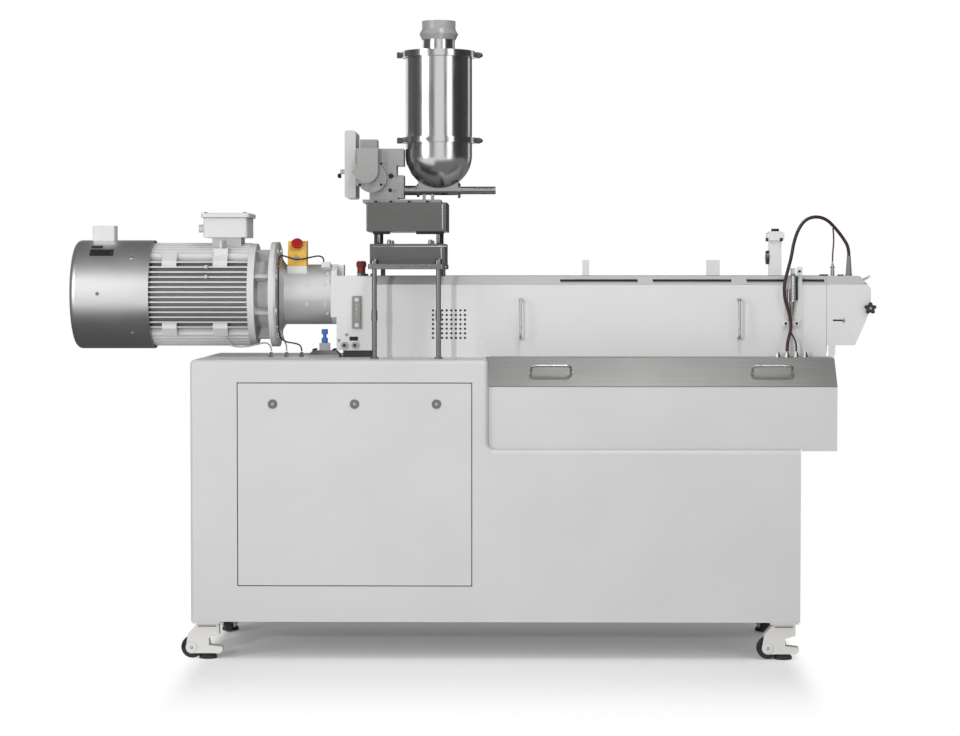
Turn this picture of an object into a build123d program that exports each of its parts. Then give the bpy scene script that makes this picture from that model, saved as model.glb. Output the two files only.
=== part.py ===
from build123d import *
import math
import os

# Twin-screw plastic extruder on a castered cabinet, in millimetres.
# The layout frame has X = 0 at the middle of the cabinet, Y = 0 on its front
# and Z = 0 on the floor. The last section moves all to the middle of the box.

# Cabinet
cabinet_length = 1960.0
cabinet_depth = 750.0
cabinet_bottom = 124.0
cabinet_height = 844.0
tall_length = 958.0
step_drop = 288.0
bend_radius = 16.0
step_bend_radius = 22.0
cabinet_left = -cabinet_length / 2
cabinet_right = cabinet_length / 2
cabinet_top = cabinet_bottom + cabinet_height
step_top = cabinet_top - step_drop
step_left = cabinet_left + tall_length
machine_y = cabinet_depth / 2

# Cabinet door panel and its quarter-turn locks
door_width = 750.0
door_from_left = 154.0
door_above_bottom = 118.0
door_below_top = 76.0
door_gap = 3.0
door_thickness = 20.0
door_corner = 3.0
lock_diameter = 30.0
lock_stand_out = 3.0
lock_recess_diameter = 18.0
lock_recess_depth = 1.5
lock_below_top = 66.0
lock_pitch = 263.0
lock_count = 3
seat_gap = 0.3
door_sill = cabinet_bottom + door_above_bottom
door_height = cabinet_height - door_above_bottom - door_below_top

# Cable duct that lies on the low part of the cabinet
duct_set_back = 20.0
duct_front_height = 200.0
duct_overhang = 118.0
duct_lip = 6.0
lid_thickness = 2.5
lid_left_gap = 3.0
duct_bottom = step_top + seat_gap
duct_front_top = duct_bottom + duct_front_height
duct_slope = cabinet_top - duct_front_top
duct_right = cabinet_right + duct_overhang
lid_top = cabinet_top + seat_gap + lid_thickness

# Hood over the process section, of bent sheet
hood_before_step = 378.0
hood_short_of_duct = 7.0
hood_width = 230.0
hood_height = 269.0
hood_sheet = 3.0
hood_chamfer_drop = 28.0
hood_chamfer_run = 34.0
hood_slot_height = 13.0
hood_slots = ((613.0, 256.0), (919.0, 259.0), (1228.0, 126.0), (1410.0, 75.0))
vent_hole = 8.0
vent_pitch = 15.1
vent_columns = 8
vent_rows = 7
vent_from_left = 193.0
vent_above_cabinet = 64.0
hood_left = step_left - hood_before_step
hood_right = duct_right - hood_short_of_duct
hood_front = machine_y - hood_width / 2
hood_back = machine_y + hood_width / 2
hood_bottom = cabinet_top
hood_top = cabinet_top + hood_height

# Lifting tabs on the hood: distance from its left end, and width
tab_height = 53.0
tab_thickness = 5.0
tab_places = ((689.0, 23.0), (1103.0, 45.0))

# Bow handles
handle_rod = 8.0
handle_width = 128.0
handle_reach = 36.0
handle_bend = 14.0
handle_foot_diameter = 12.8
handle_foot_height = 3.0
lid_handle_up_slope = 56.0
lid_handle_from_step = 202.0
lid_handle_from_right = 206.0
cover_handle_from_left = 482.0
cover_handle_from_right = 289.0
cover_handle_below_top = 143.0
lid_handle_x = (step_left + lid_handle_from_step, duct_right - lid_handle_from_right)
cover_handle_x = (hood_left + cover_handle_from_left, hood_right - cover_handle_from_right)
cover_handle_z = hood_top - cover_handle_below_top

# Barrel under the hood
barrel_above_cabinet = 132.0
barrel_size = 130.0
barrel_joint_length = 14.0
barrel_joint_size = 160.0
barrel_count = 10
barrel_short_of_hood = 30.7
die_length = 96.0
die_size = 110.0
die_chamfer = 14.0
die_nozzle_diameter = 16.0
die_nozzle_length = 12.0
die_nozzles = 3
die_nozzle_pitch = 30.0
die_clear = 6.0
barrel_axis_z = cabinet_top + barrel_above_cabinet
barrel_left = hood_left + hood_sheet + seat_gap
barrel_right = hood_right - barrel_short_of_hood

# Discharge hood round the die
discharge_length = 145.0
discharge_gap = 1.0
discharge_nose_drop = 42.0
discharge_nose_height = 63.0
discharge_corner_drop = 169.0
discharge_corner_in = 25.0
discharge_height = 229.0
discharge_bottom_in = 52.0
discharge_top_in = 34.0
discharge_mouth = 50.0
discharge_foot_width = 22.0
discharge_foot_sheet = 4.0
discharge_foot_drop = 12.0
discharge_left = hood_right + discharge_gap
discharge_right = discharge_left + discharge_length
discharge_bottom = hood_top - discharge_height
discharge_nose_top = hood_top - discharge_nose_drop
discharge_nose_bottom = discharge_nose_top - discharge_nose_height
discharge_corner_z = hood_top - discharge_corner_drop

# Star knob on the discharge hood and knob on the post
star_radius = 20.0
star_lobe = 6.5
star_lobes = 5
star_thickness = 14.0
star_below_top = 107.0
star_from_nose = 5.0
stem_diameter = 9.0
stem_length = 14.0
stem_in = 6.0
star_x = discharge_right - star_from_nose
star_z = hood_top - star_below_top

# Post with its cap, behind the hood's top
post_size = 40.0
post_height = 118.0
post_from_right = 159.0
post_cap_size = 57.0
post_cap_height = 30.0
post_cap_chamfer = 8.0
post_disc_diameter = 44.0
post_disc_height = 61.0
post_disc_thickness = 10.0
post_knob_height = 9.0
post_knob_diameter = 26.0
post_x = hood_right - post_from_right

# Wiring panel with plug connectors
panel_from_right = 141.0
panel_width = 60.0
panel_sheet = 3.0
plug_diameter = 12.0
plug_length = 166.0
plug_above_hood = 25.0
plug_ring = 0.5
plug_ring_height = 30.0
plug_ring_below_top = 10.0
plug_clip_width = 8.0
plug_clip_height = 15.0
plug_clip_below_top = 45.0
saddle_size = 22.0
saddle_width = 52.0
saddle_thickness = 4.0
saddle_above_cabinet = 114.0
plug_from_panel_left = 19.0
plug_pitch = 20.0
panel_left = hood_right - panel_from_right
plug_left_x = panel_left + plug_from_panel_left
plug_x = (plug_left_x, plug_left_x + plug_pitch)
plug_top = hood_top + plug_above_hood
saddle_low_z = cabinet_top + saddle_above_cabinet

# Gearbox
gearbox_length = 146.0
gearbox_width = 200.0
gearbox_above_cabinet = 22.0
gearbox_edge = 6.0
gearbox_flange_length = 19.0
gearbox_flange_rise = 16.0
gearbox_flange_inset = 20.0
gearbox_flange_below_axis = 75.0
gearbox_foot_in = 40.0
gearbox_foot_right_in = 8.0
gearbox_foot_set_back = 6.0
drain_diameter = 28.0
drain_height = 5.0
drain_above_bottom = 17.0
drain_from_left = 45.0
drain_pitch = 35.0
lug_width = 39.0
lug_height = 20.0
lug_depth = 60.0
gearbox_left = hood_left - gearbox_length
gearbox_front = machine_y - gearbox_width / 2
gearbox_back = machine_y + gearbox_width / 2
gearbox_bottom = cabinet_top + gearbox_above_cabinet
gearbox_top = hood_top
gearbox_flange_top = gearbox_top + gearbox_flange_rise
drain_left_x = gearbox_left + drain_from_left
drain_x = (drain_left_x, drain_left_x + drain_pitch)
drain_z = gearbox_bottom + drain_above_bottom

# Sight glass, breather and sensor block
sight_width = 30.0
sight_height = 108.0
sight_above_bottom = 126.0
sight_from_left = 86.0
sight_thickness = 9.0
sight_round = 3.0
breather_from_left = 98.0
breather_in_front = 45.0
breather_base_diameter = 27.0
breather_base_height = 28.0
breather_cap_diameter = 30.0
breather_cap_height = 21.0
breather_cap_round = 4.0
sensor_left_of_gearbox = 22.0
sensor_in_front = 75.0
sensor_pad_length = 102.0
sensor_pad_depth = 110.0
sensor_pad_height = 22.0
sensor_pad_chamfer = 14.0
sensor_post = 34.0
sensor_post_height = 24.0
sensor_diameter = 21.0
sensor_height = 17.0
sensor_neck = 12.0
sight_x = gearbox_left + sight_from_left
sight_z = gearbox_bottom + sight_above_bottom
breather_x = gearbox_left + breather_from_left
breather_y = machine_y - breather_in_front
sensor_x = gearbox_left - sensor_left_of_gearbox
sensor_y = machine_y - sensor_in_front

# Motor axis and coupling lantern
motor_above_cabinet = 207.0
lantern_radius = 100.0
flange_radius = 175.0
lantern_flange_length = 8.0
lantern_length = 186.0
lantern_cone_radius = 135.0
lantern_cone_length = 22.0
flange_bolt_circle = 150.0
flange_bolts = 8
flange_bolt_radius = 14.0
flange_bolt_height = 4.0
motor_axis_z = cabinet_top + motor_above_cabinet
gearbox_flange_bottom = motor_axis_z - gearbox_flange_below_axis
lantern_right = gearbox_left
lantern_left = lantern_right - lantern_length
lantern_face = lantern_left + lantern_flange_length

# Motor
motor_flange_length = 16.0
neck_length = 48.0
neck_radius = 122.0
neck_rib = 12.0
neck_ribs = 8
neck_rib_in = 12.0
shield_length = 22.0
shield_radius = 170.0
stator_length = 351.0
stator_radius = 150.0
fin_radius = 172.0
fin_thickness = 4.6
fin_pitch = 16.5
fins_on_side = 14
motor_lug_length = 48.0
motor_lug_from_flange = (137.0, 305.0)
motor_lug_inner = 92.0
motor_lug_outer = 138.0
motor_lug_chamfer = 26.0
motor_flange_right = lantern_left
motor_flange_left = motor_flange_right - motor_flange_length
shield_right = motor_flange_left - neck_length
stator_right = shield_right - shield_length
stator_left = stator_right - stator_length

# Fan cowl
cowl_radius = 181.0
cowl_length = 262.0
cowl_sheet = 2.5
cowl_round = 20.0
cowl_overlap = 28.0
cowl_slots = 12
cowl_slot_width = 14.0
cowl_slot_inner = 50.0
cowl_slot_outer = 135.0
rear_shield_length = 76.0
rear_shield_radius = 140.0
cowl_boss = 11.0
cowl_boss_in = 58.0
cowl_boss_gap = 0.8
cowl_bosses = 4
cowl_right = stator_left + cowl_overlap
cowl_left = cowl_right - cowl_length

# Boxes on the motor and its lifting eye
terminal_length = 146.0
terminal_depth = 208.0
terminal_height = 66.0
terminal_from_stator_right = 150.0
terminal_above_axis = 189.0
terminal_round = 10.0
terminal_lid_height = 15.0
terminal_lid_overhang = 8.0
terminal_lid_corner = 14.0
terminal_lid_edge = 5.0
terminal_neck_length = 96.0
terminal_neck_depth = 120.0
terminal_gland_diameter = 26.0
terminal_gland_length = 20.0
terminal_gland_in_front = 50.0
terminal_gland_height = 30.0
cowl_box_length = 74.0
cowl_box_depth = 70.0
cowl_box_height = 48.0
cowl_box_round = 6.0
cowl_box_from_left = 57.0
eyebolt_from_stator_right = 90.0
eyebolt_ring = 20.0
eyebolt_rod = 8.0
eyebolt_in = 8.0
eyebolt_sink = 6.0
eye_block_length = 47.0
eye_block_depth = 40.0
eye_block_height = 14.0
terminal_left = stator_right - terminal_from_stator_right
terminal_bottom = motor_axis_z + terminal_above_axis
cowl_box_left = cowl_left + cowl_box_from_left
eyebolt_x = stator_right - eyebolt_from_stator_right

# Emergency stop box on the lantern
stop_length = 62.0
stop_depth = 70.0
stop_height = 78.0
stop_from_flange = 41.0
stop_front_share = 0.55
stop_slope_share = 0.35
stop_skirt_share = 0.72
stop_button_radius = 19.0
stop_button_reach = 20.0
stop_button_round = 3.0
stop_left = lantern_left + stop_from_flange

# Cable glands, 18 mm across the corners, with clips and a lead block
gland_diameter = 18.0
gland_height = 18.0
gland_flange = 5.0
duct_gland_before_hood = 45.0
duct_gland_pitch = 30.0
duct_gland_left_of_panel = 23.0
cabinet_gland_before_axis = 75.0
cabinet_gland_from_lantern = (-14.0, 37.0, 87.0)
relief_height = 66.0
relief_from_left = 81.0
branch_gland_from_left = 27.0
branch_gland_height = 46.0
relief_in_front = 40.0
clip_size = 12.0
clip_thickness = 4.0
clip_in_front = 132.0
clip_above_axis = 93.0
clip_below_axis = 107.0
lead_block_length = 30.0
lead_block_depth = 30.0
lead_block_height = 8.0
lead_block_from_right = 36.0
lead_block_in_front = 40.0
duct_gland_left_x = panel_left - duct_gland_left_of_panel
duct_gland_x = tuple(duct_gland_left_x + duct_gland_pitch * index for index in range(4))
duct_gland_y = hood_front - duct_gland_before_hood
cabinet_gland_x = tuple(lantern_left + distance for distance in cabinet_gland_from_lantern)
cabinet_gland_y = machine_y - cabinet_gland_before_axis
relief_x = discharge_left + relief_from_left
relief_y = machine_y - relief_in_front
branch_gland_x = discharge_left + branch_gland_from_left
clip_y = machine_y - clip_in_front
clip_z = (motor_axis_z + clip_above_axis, motor_axis_z - clip_below_axis)
lead_block_left = lantern_right - lead_block_from_right
lead_block_y = machine_y - lead_block_in_front

# Feeder stand
stand_length = 246.0
stand_depth = 580.0
stand_left_of_hood = 12.0
stand_above_hood = 38.0
stand_plate = 16.0
stand_plate_round = 8.0
stand_rod_diameter = 16.0
stand_rod_left_in = 20.0
stand_rod_right_in = 18.0
stand_rod_inset = 20.0
stand_nut_diameter = 26.0
stand_nut_height = 16.0
stand_nut_round = 6.0
stand_collar_height = 34.0
stand_collar_wall = 2.0
stand_collar_above_cabinet = 140.0
stand_left = hood_left - stand_left_of_hood
stand_right = stand_left + stand_length
stand_front = machine_y - stand_depth / 2
stand_back = machine_y + stand_depth / 2
stand_rod_x = (stand_left + stand_rod_left_in, stand_right - stand_rod_right_in)
stand_plate_top = hood_top + stand_above_hood
stand_collar_z = cabinet_top + stand_collar_above_cabinet

# Scale of the feeder
scale_depth = 300.0
scale_low_length = 249.0
scale_low_height = 67.0
scale_low_left_of_stand = 2.0
mount_diameter = 17.0
mount_height = 41.0
mount_inset = 22.0
scale_top_length = 265.0
scale_top_height = 95.0
scale_top_left_of_stand = 13.0
scale_edge = 5.0
scale_low_left = stand_left - scale_low_left_of_stand
scale_top_left = stand_left - scale_top_left_of_stand
scale_low_bottom = stand_plate_top
mount_bottom = scale_low_bottom + scale_low_height
scale_top_bottom = mount_bottom + mount_height
scale_top_top = scale_top_bottom + scale_top_height

# Feeder drive
base_plate_left_of_stand = 28.0
base_plate_length = 258.0
base_plate_depth = 200.0
base_plate_height = 11.0
drive_left_of_stand = 54.0
drive_length = 160.0
drive_depth = 120.0
drive_front_reach = 53.0
drive_step = 24.0
drive_above_scale = 17.0
drive_height = 164.0
drive_block_from_left = 14.0
drive_block_length = 57.0
drive_block_height = 31.0
drive_block_inset = 10.0
arm_height = 56.0
lower_arm_height = 76.0
drive_foot_in = 46.0
drive_foot_right_in = 20.0
drive_foot_height = 40.0
cover_plate_thickness = 26.0
cover_round_radius = 37.0
cover_round_from_left = 39.0
cover_round_above_bottom = 86.0
cover_nose_out = 11.5
cover_nose_above_bottom = 84.5
cover_shoulder_from_left = 8.0
cover_shoulder_above_bottom = 113.0
cover_chin_from_left = 7.0
cover_chin_below_nose = 20.0
drive_disc_radius = 50.0
drive_disc_from_left = 54.0
drive_disc_above_bottom = 68.0
drive_disc_thickness = 14.0
drive_hole_diameter = 18.0
drive_hole_depth = 30.0
drive_hole_from_right = 42.0
drive_hole_above_bottom = 73.0
base_plate_left = stand_left - base_plate_left_of_stand
base_plate_top = scale_top_top + base_plate_height
drive_left = stand_left - drive_left_of_stand
drive_right = drive_left + drive_length
drive_front = machine_y - drive_front_reach
drive_bottom_z = scale_top_top + drive_above_scale
drive_top_z = drive_bottom_z + drive_height
drive_disc_front = drive_front - drive_disc_thickness
cover_front = drive_disc_front - cover_plate_thickness
cover_round_x = drive_left + cover_round_from_left
cover_round_z = drive_bottom_z + cover_round_above_bottom

# Control box of the feeder
control_length = 37.0
control_depth = 210.0
control_set_back = 8.0
control_above_drive_bottom = 1.0
control_height = 224.0
control_edge = 8.0
control_knob_diameter = 16.0
control_knob_length = 17.0
control_knob_above_bottom = 88.0
control_knob_in = 40.0
control_bottom = drive_bottom_z + control_above_drive_bottom

# Hopper and its screw tube
hopper_from_drive = 115.0
hopper_radius = 111.0
hopper_sheet = 3.0
bowl_above_tube_axis = 6.0
bowl_height = 160.0
hopper_height = 284.0
rim_height = 8.0
rim_radius = 121.0
band_radius = 123.0
band_height = 18.0
band_lug = 20.0
band_lug_reach = 16.0
lid_plate = 12.0
neck_outer_radius = 53.5
neck_wall = 2.5
neck_height = 38.0
sleeve_radius = 65.0
sleeve_wall = 3.0
sleeve_height = 62.0
sleeve_waist = 56.0
tube_above_scale = 44.0
tube_radius = 13.0
tube_wall = 2.0
tube_housing_radius = 16.0
tube_flange_radius = 22.0
tube_flange_length = 8.0
tube_flange_reach = 69.0
tube_reach = 190.0
tube_bore_in = 20.0
tube_saddle_rise = 30.0
tube_leg = 10.0
tube_leg_from_hopper = (49.0, 21.0)
tube_leg_overlap = 4.0
hopper_x = drive_right + hopper_from_drive
tube_axis_z = scale_top_top + tube_above_scale
tube_left_flange_x = hopper_x - tube_flange_reach
tube_right_flange_x = hopper_x + tube_flange_reach
tube_right = hopper_x + tube_reach
tube_leg_x = tuple(hopper_x - distance for distance in tube_leg_from_hopper)
bowl_bottom_z = tube_axis_z + bowl_above_tube_axis
hopper_low_z = bowl_bottom_z + bowl_height
hopper_top_z = hopper_low_z + hopper_height
lid_neck_top = hopper_top_z + seat_gap + lid_plate + neck_height

# Levelling casters
caster_inset = 50.0
caster_plate = 92.0
caster_plate_height = 7.0
caster_play = 0.3
pin_play = 0.05
king_pin_radius = 9.0
king_pin_length = 5.0
caster_offset = 50.0
wheel_radius = 36.0
wheel_lift = 1.0
wheel_width = 24.0
wheel_tread = 7.0
wheel_clear = 5.0
cheek = 5.0
axle_radius = 5.0
hub_radius = 20.0
housing_bottom = 18.0
housing_lip_reach = 49.0
housing_shoulder = 38.0
foot_radius = 28.0
foot_rim = 5.0
foot_neck_radius = 13.0
foot_height = 16.0
foot_stem_radius = 6.0
thumb_radius = 10.0
thumb_height = 9.0
thumb_z = 47.0
thumb_clear = 1.0
notch_in = 5.0

# Cables
probe_cable_diameter = 11.0
tail_cable_diameter = 6.0
branch_cable_diameter = 5.0
stop_cable_diameter = 5.0
motor_cable_diameter = 5.0
flange_cable_diameter = 5.0


def box_between(x0, x1, y0, y1, z0, z1):
    """A block between two corners."""
    block = Box(x1 - x0, y1 - y0, z1 - z0)
    return Pos((x0 + x1) / 2, (y0 + y1) / 2, (z0 + z1) / 2) * block


def rod_x(radius, x0, x1, y, z):
    """A round bar along X."""
    return Pos((x0 + x1) / 2, y, z) * Rot(0, 90, 0) * Cylinder(radius, abs(x1 - x0))


def rod_y(radius, y0, y1, x, z):
    """A round bar along Y."""
    return Pos(x, (y0 + y1) / 2, z) * Rot(90, 0, 0) * Cylinder(radius, abs(y1 - y0))


def rod_z(radius, z0, z1, x, y):
    """A round bar along Z."""
    return Pos(x, y, (z0 + z1) / 2) * Cylinder(radius, abs(z1 - z0))


def plate_xz(points, y0, y1):
    """A plate with its outline in the XZ plane, from y0 back to y1."""
    face = make_face(Polyline(*[(x, y0, z) for x, z in points], close=True))
    return extrude(face, amount=y1 - y0, dir=(0, 1, 0))


def bar_yz(points, x0, x1):
    """A bar with its outline in the YZ plane, from x0 to x1."""
    face = make_face(Polyline(*[(x0, y, z) for y, z in points], close=True))
    return extrude(face, amount=x1 - x0, dir=(1, 0, 0))


def group(pieces):
    """Separate solids that share a node."""
    solids = []
    for piece in pieces:
        solids.extend(piece.solids())
    return Compound(solids)


def tube_along(points, radii, diameter):
    """A round tube along straight runs with tangent arcs."""
    path = FilletPolyline(*points, radius=radii)
    ring = Plane(origin=path @ 0, z_dir=path % 0) * Circle(diameter / 2)
    return sweep(ring, path=path)


def arc_radii(points, share=0.45):
    """The largest even arc at each corner of a cable's route."""
    corners = [Vector(*point) for point in points]
    radii = []
    for before, corner, after in zip(corners, corners[1:], corners[2:]):
        turn = (corner - before).get_angle(after - corner)
        run = min((corner - before).length, (after - corner).length)
        radii.append(share * run / math.tan(math.radians(turn) / 2))
    return radii


# Cabinet

def make_cabinet_body():
    outline = [
        (cabinet_left, cabinet_bottom),
        (cabinet_right, cabinet_bottom),
        (cabinet_right, step_top),
        (step_left, step_top),
        (step_left, cabinet_top),
        (cabinet_left, cabinet_top),
    ]
    body = plate_xz(outline, 0, cabinet_depth)
    inner = body.edges().filter_by(Axis.Y).sort_by_distance((step_left, 0, step_top))[0]
    body = fillet(inner, step_bend_radius)
    outer = body.edges().filter_by(Axis.Y).group_by(Axis.Z)[-1]
    body = fillet(outer, bend_radius)
    long_edges = body.edges().filter_by(Axis.X).group_by(Axis.Z)[-1]
    body = fillet(long_edges, bend_radius)
    recess = box_between(
        cabinet_left + door_from_left - door_gap,
        cabinet_left + door_from_left + door_width + door_gap,
        -1,
        door_thickness + seat_gap,
        door_sill - door_gap,
        door_sill + door_height + door_gap,
    )
    return body - recess


def make_cabinet_door():
    left = cabinet_left + door_from_left
    panel = box_between(
        left, left + door_width, 0, door_thickness, door_sill, door_sill + door_height
    )
    return fillet(panel.edges().filter_by(Axis.Y), door_corner)


def lock_places():
    middle = cabinet_left + door_from_left + door_width / 2
    first = middle - lock_pitch * (lock_count - 1) / 2
    z = door_sill + door_height - lock_below_top
    return [(first + lock_pitch * index, z) for index in range(lock_count)]


def make_door_locks():
    locks = []
    for x, z in lock_places():
        rosette = rod_y(lock_diameter / 2, -lock_stand_out, 0, x, z)
        front = rosette.faces().sort_by(Axis.Y)[0]
        rosette = fillet(front.edges(), 1)
        recess = lock_recess_depth - lock_stand_out
        rosette -= rod_y(lock_recess_diameter / 2, -lock_stand_out - 1, recess, x, z)
        locks.append(rosette)
    return group(locks)


# Cable duct

def duct_outline():
    front = duct_set_back
    back = cabinet_depth - duct_set_back
    return [
        (front, duct_bottom),
        (front, duct_front_top),
        (front + duct_slope, cabinet_top),
        (back, cabinet_top),
        (back, duct_bottom),
    ]


def make_duct_body():
    body = bar_yz(duct_outline(), step_left + seat_gap, duct_right)
    corner = body.edges().filter_by(Axis.Y).sort_by_distance((step_left, machine_y, duct_bottom))[0]
    body = fillet(corner, step_bend_radius)
    lip = box_between(
        cabinet_right + duct_lip,
        duct_right,
        duct_set_back,
        duct_set_back + duct_lip,
        duct_bottom - duct_lip,
        duct_bottom,
    )
    return body + lip


def make_duct_lid():
    normal = lid_thickness * math.sqrt(0.5)
    mitre = lid_thickness * math.tan(math.radians(22.5))
    front = duct_set_back
    lift = seat_gap
    outline = [
        (front, duct_front_top + lift),
        (front + duct_slope, cabinet_top + lift),
        (hood_front - seat_gap, cabinet_top + lift),
        (hood_front - seat_gap, cabinet_top + lift + lid_thickness),
        (front + duct_slope - mitre, cabinet_top + lift + lid_thickness),
        (front - normal, duct_front_top + lift + normal),
    ]
    return bar_yz(outline, step_left + lid_left_gap, duct_right)


# Handles

def bow_handle():
    """A bow handle in the XZ plane, standing out along -Y from Y = 0."""
    half = handle_width / 2
    points = [
        (-half, 0, 0),
        (-half, -handle_reach, 0),
        (half, -handle_reach, 0),
        (half, 0, 0),
    ]
    bow = tube_along(points, [handle_bend, handle_bend], handle_rod)
    for x in (-half, half):
        bow += rod_y(handle_foot_diameter / 2, -handle_foot_height, 0, x, 0)
    return bow


def make_bow_handles():
    handles = []
    lift = lid_thickness + seat_gap
    slope_y = duct_set_back + (lid_handle_up_slope - lift) * math.sqrt(0.5)
    slope_z = duct_front_top + seat_gap + (lid_handle_up_slope + lift) * math.sqrt(0.5)
    for x in lid_handle_x:
        handles.append(Pos(x, slope_y, slope_z) * Rot(-45, 0, 0) * bow_handle())
    for x in cover_handle_x:
        handles.append(Pos(x, hood_front, cover_handle_z) * Rot(0, 90, 0) * bow_handle())
    return group(handles)


# Hood over the process section

def hood_outline(inset):
    """The hood's cross-section, inset by the thickness of the sheet."""
    front = hood_front + inset
    back = hood_back - inset
    top = hood_top - inset
    run = hood_chamfer_run - inset * 0.4
    drop = hood_chamfer_drop - inset * 0.4
    return [
        (front, hood_bottom if inset == 0 else hood_bottom - 1),
        (front, top - drop),
        (front + run, top),
        (back - run, top),
        (back, top - drop),
        (back, hood_bottom if inset == 0 else hood_bottom - 1),
    ]


def die_window(x0, x1):
    """The way through a sheet wall that the die head passes."""
    half = die_size / 2 + die_clear
    return box_between(
        x0,
        x1,
        machine_y - half,
        machine_y + half,
        barrel_axis_z - half,
        barrel_axis_z + half,
    )


def make_process_hood():
    hood = bar_yz(hood_outline(0), hood_left, hood_right)
    hood -= bar_yz(hood_outline(hood_sheet), hood_left + hood_sheet, hood_right - hood_sheet)
    slope = math.degrees(math.atan2(hood_chamfer_drop, hood_chamfer_run))
    slot_y = hood_front + hood_chamfer_run / 2
    slot_z = hood_top - hood_chamfer_drop / 2
    for from_left, length in hood_slots:
        slot = Rot(slope, 0, 0) * Box(length, hood_slot_height, 4 * hood_sheet)
        hood -= Pos(hood_left + from_left + length / 2, slot_y, slot_z) * slot
    holes = []
    for column in range(vent_columns):
        for row in range(vent_rows):
            x = hood_left + vent_from_left + vent_pitch * column
            z = hood_bottom + vent_above_cabinet + vent_pitch * row
            holes.append(rod_y(vent_hole / 2, hood_front - 1, hood_front + hood_sheet + 1, x, z))
    hood -= holes
    hood -= die_window(hood_right - 2 * hood_sheet, hood_right + 1)
    for from_left, length in tab_places:
        left = hood_left + from_left
        tab = box_between(
            left,
            left + length,
            machine_y - tab_thickness / 2,
            machine_y + tab_thickness / 2,
            hood_top,
            hood_top + tab_height,
        )
        hood += tab
    return hood


def make_barrel():
    half = barrel_size / 2
    barrel = box_between(
        barrel_left,
        barrel_right,
        machine_y - half,
        machine_y + half,
        barrel_axis_z - half,
        barrel_axis_z + half,
    )
    pitch = (barrel_right - barrel_left - barrel_joint_length) / barrel_count
    rim = barrel_joint_size / 2
    for index in range(barrel_count + 1):
        x = barrel_left + pitch * index
        barrel += box_between(
            x,
            x + barrel_joint_length,
            machine_y - rim,
            machine_y + rim,
            barrel_axis_z - rim,
            barrel_axis_z + rim,
        )
    return barrel


# Discharge end

def make_die_head():
    half = die_size / 2
    die = box_between(
        barrel_right,
        barrel_right + die_length,
        machine_y - half,
        machine_y + half,
        barrel_axis_z - half,
        barrel_axis_z + half,
    )
    die = chamfer(die.faces().sort_by(Axis.X)[-1].edges(), die_chamfer)
    for index in range(die_nozzles):
        y = machine_y + die_nozzle_pitch * (index - (die_nozzles - 1) / 2)
        die += rod_x(
            die_nozzle_diameter / 2,
            barrel_right + die_length,
            barrel_right + die_length + die_nozzle_length,
            y,
            barrel_axis_z,
        )
    return die


def discharge_points(inset):
    """The discharge hood's outline seen from the front, inset by the sheet."""
    return [
        (discharge_left + inset, discharge_bottom),
        (discharge_left + inset, hood_top - inset),
        (discharge_right - discharge_top_in, hood_top - inset),
        (discharge_right - inset, discharge_nose_top),
        (discharge_right - inset, discharge_nose_bottom),
        (discharge_right - discharge_corner_in - inset, discharge_corner_z),
        (discharge_right - discharge_bottom_in - inset, discharge_bottom),
    ]


def make_discharge_hood():
    front_inside = hood_front + hood_sheet
    back_inside = hood_back - hood_sheet
    shell = plate_xz(discharge_points(0), hood_front, hood_back)
    shell -= plate_xz(discharge_points(hood_sheet), front_inside, back_inside)
    shell -= box_between(
        discharge_right - discharge_bottom_in - discharge_mouth,
        discharge_right + 1,
        front_inside,
        back_inside,
        discharge_bottom - 1,
        discharge_nose_bottom,
    )
    shell -= box_between(
        discharge_left + hood_sheet,
        discharge_right,
        front_inside,
        back_inside,
        discharge_bottom - 1,
        discharge_bottom + hood_sheet + 1,
    )
    for face, inward in ((hood_front, 1), (hood_back, -1)):
        corner = [
            (face, hood_top - hood_chamfer_drop),
            (face, hood_top),
            (face + inward * hood_chamfer_run, hood_top),
        ]
        shell -= bar_yz(corner, discharge_left, discharge_right)
    slope = math.degrees(math.atan2(hood_chamfer_drop, hood_chamfer_run))
    slope_width = math.hypot(hood_chamfer_drop, hood_chamfer_run)
    slope_length = discharge_length - discharge_top_in
    for side in (-1, 1):
        y = machine_y + side * (hood_width / 2 - hood_chamfer_run / 2)
        z = hood_top - hood_chamfer_drop / 2 - hood_sheet / 2
        strip = Rot(-side * slope, 0, 0) * Box(slope_length, slope_width, hood_sheet)
        shell += Pos(discharge_left + slope_length / 2, y, z) * strip
    shell -= die_window(discharge_left - 1, discharge_left + 2 * hood_sheet)
    foot_left = duct_right + seat_gap
    foot_right = foot_left + discharge_foot_width
    for y0 in (hood_front, hood_back - discharge_foot_sheet):
        foot = [
            (foot_left, cabinet_top - discharge_foot_drop),
            (foot_left, discharge_bottom),
            (foot_right, discharge_bottom),
            (foot_right, cabinet_top + discharge_foot_drop),
            (foot_left + discharge_foot_width / 2, cabinet_top - discharge_foot_drop),
        ]
        shell += plate_xz(foot, y0, y0 + discharge_foot_sheet)
    return shell


def make_star_knob():
    y0 = hood_front - stem_length
    knob = rod_y(star_radius - star_lobe, y0 - star_thickness, y0, star_x, star_z)
    for index in range(star_lobes):
        angle = math.radians(90 + 360 * index / star_lobes)
        x = star_x + (star_radius - star_lobe) * math.cos(angle)
        z = star_z + (star_radius - star_lobe) * math.sin(angle)
        knob += rod_y(star_lobe, y0 - star_thickness, y0, x, z)
    knob += rod_y(stem_diameter / 2, y0, hood_front - seat_gap, star_x - stem_in, star_z)
    return knob


# Post on the hood

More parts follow.
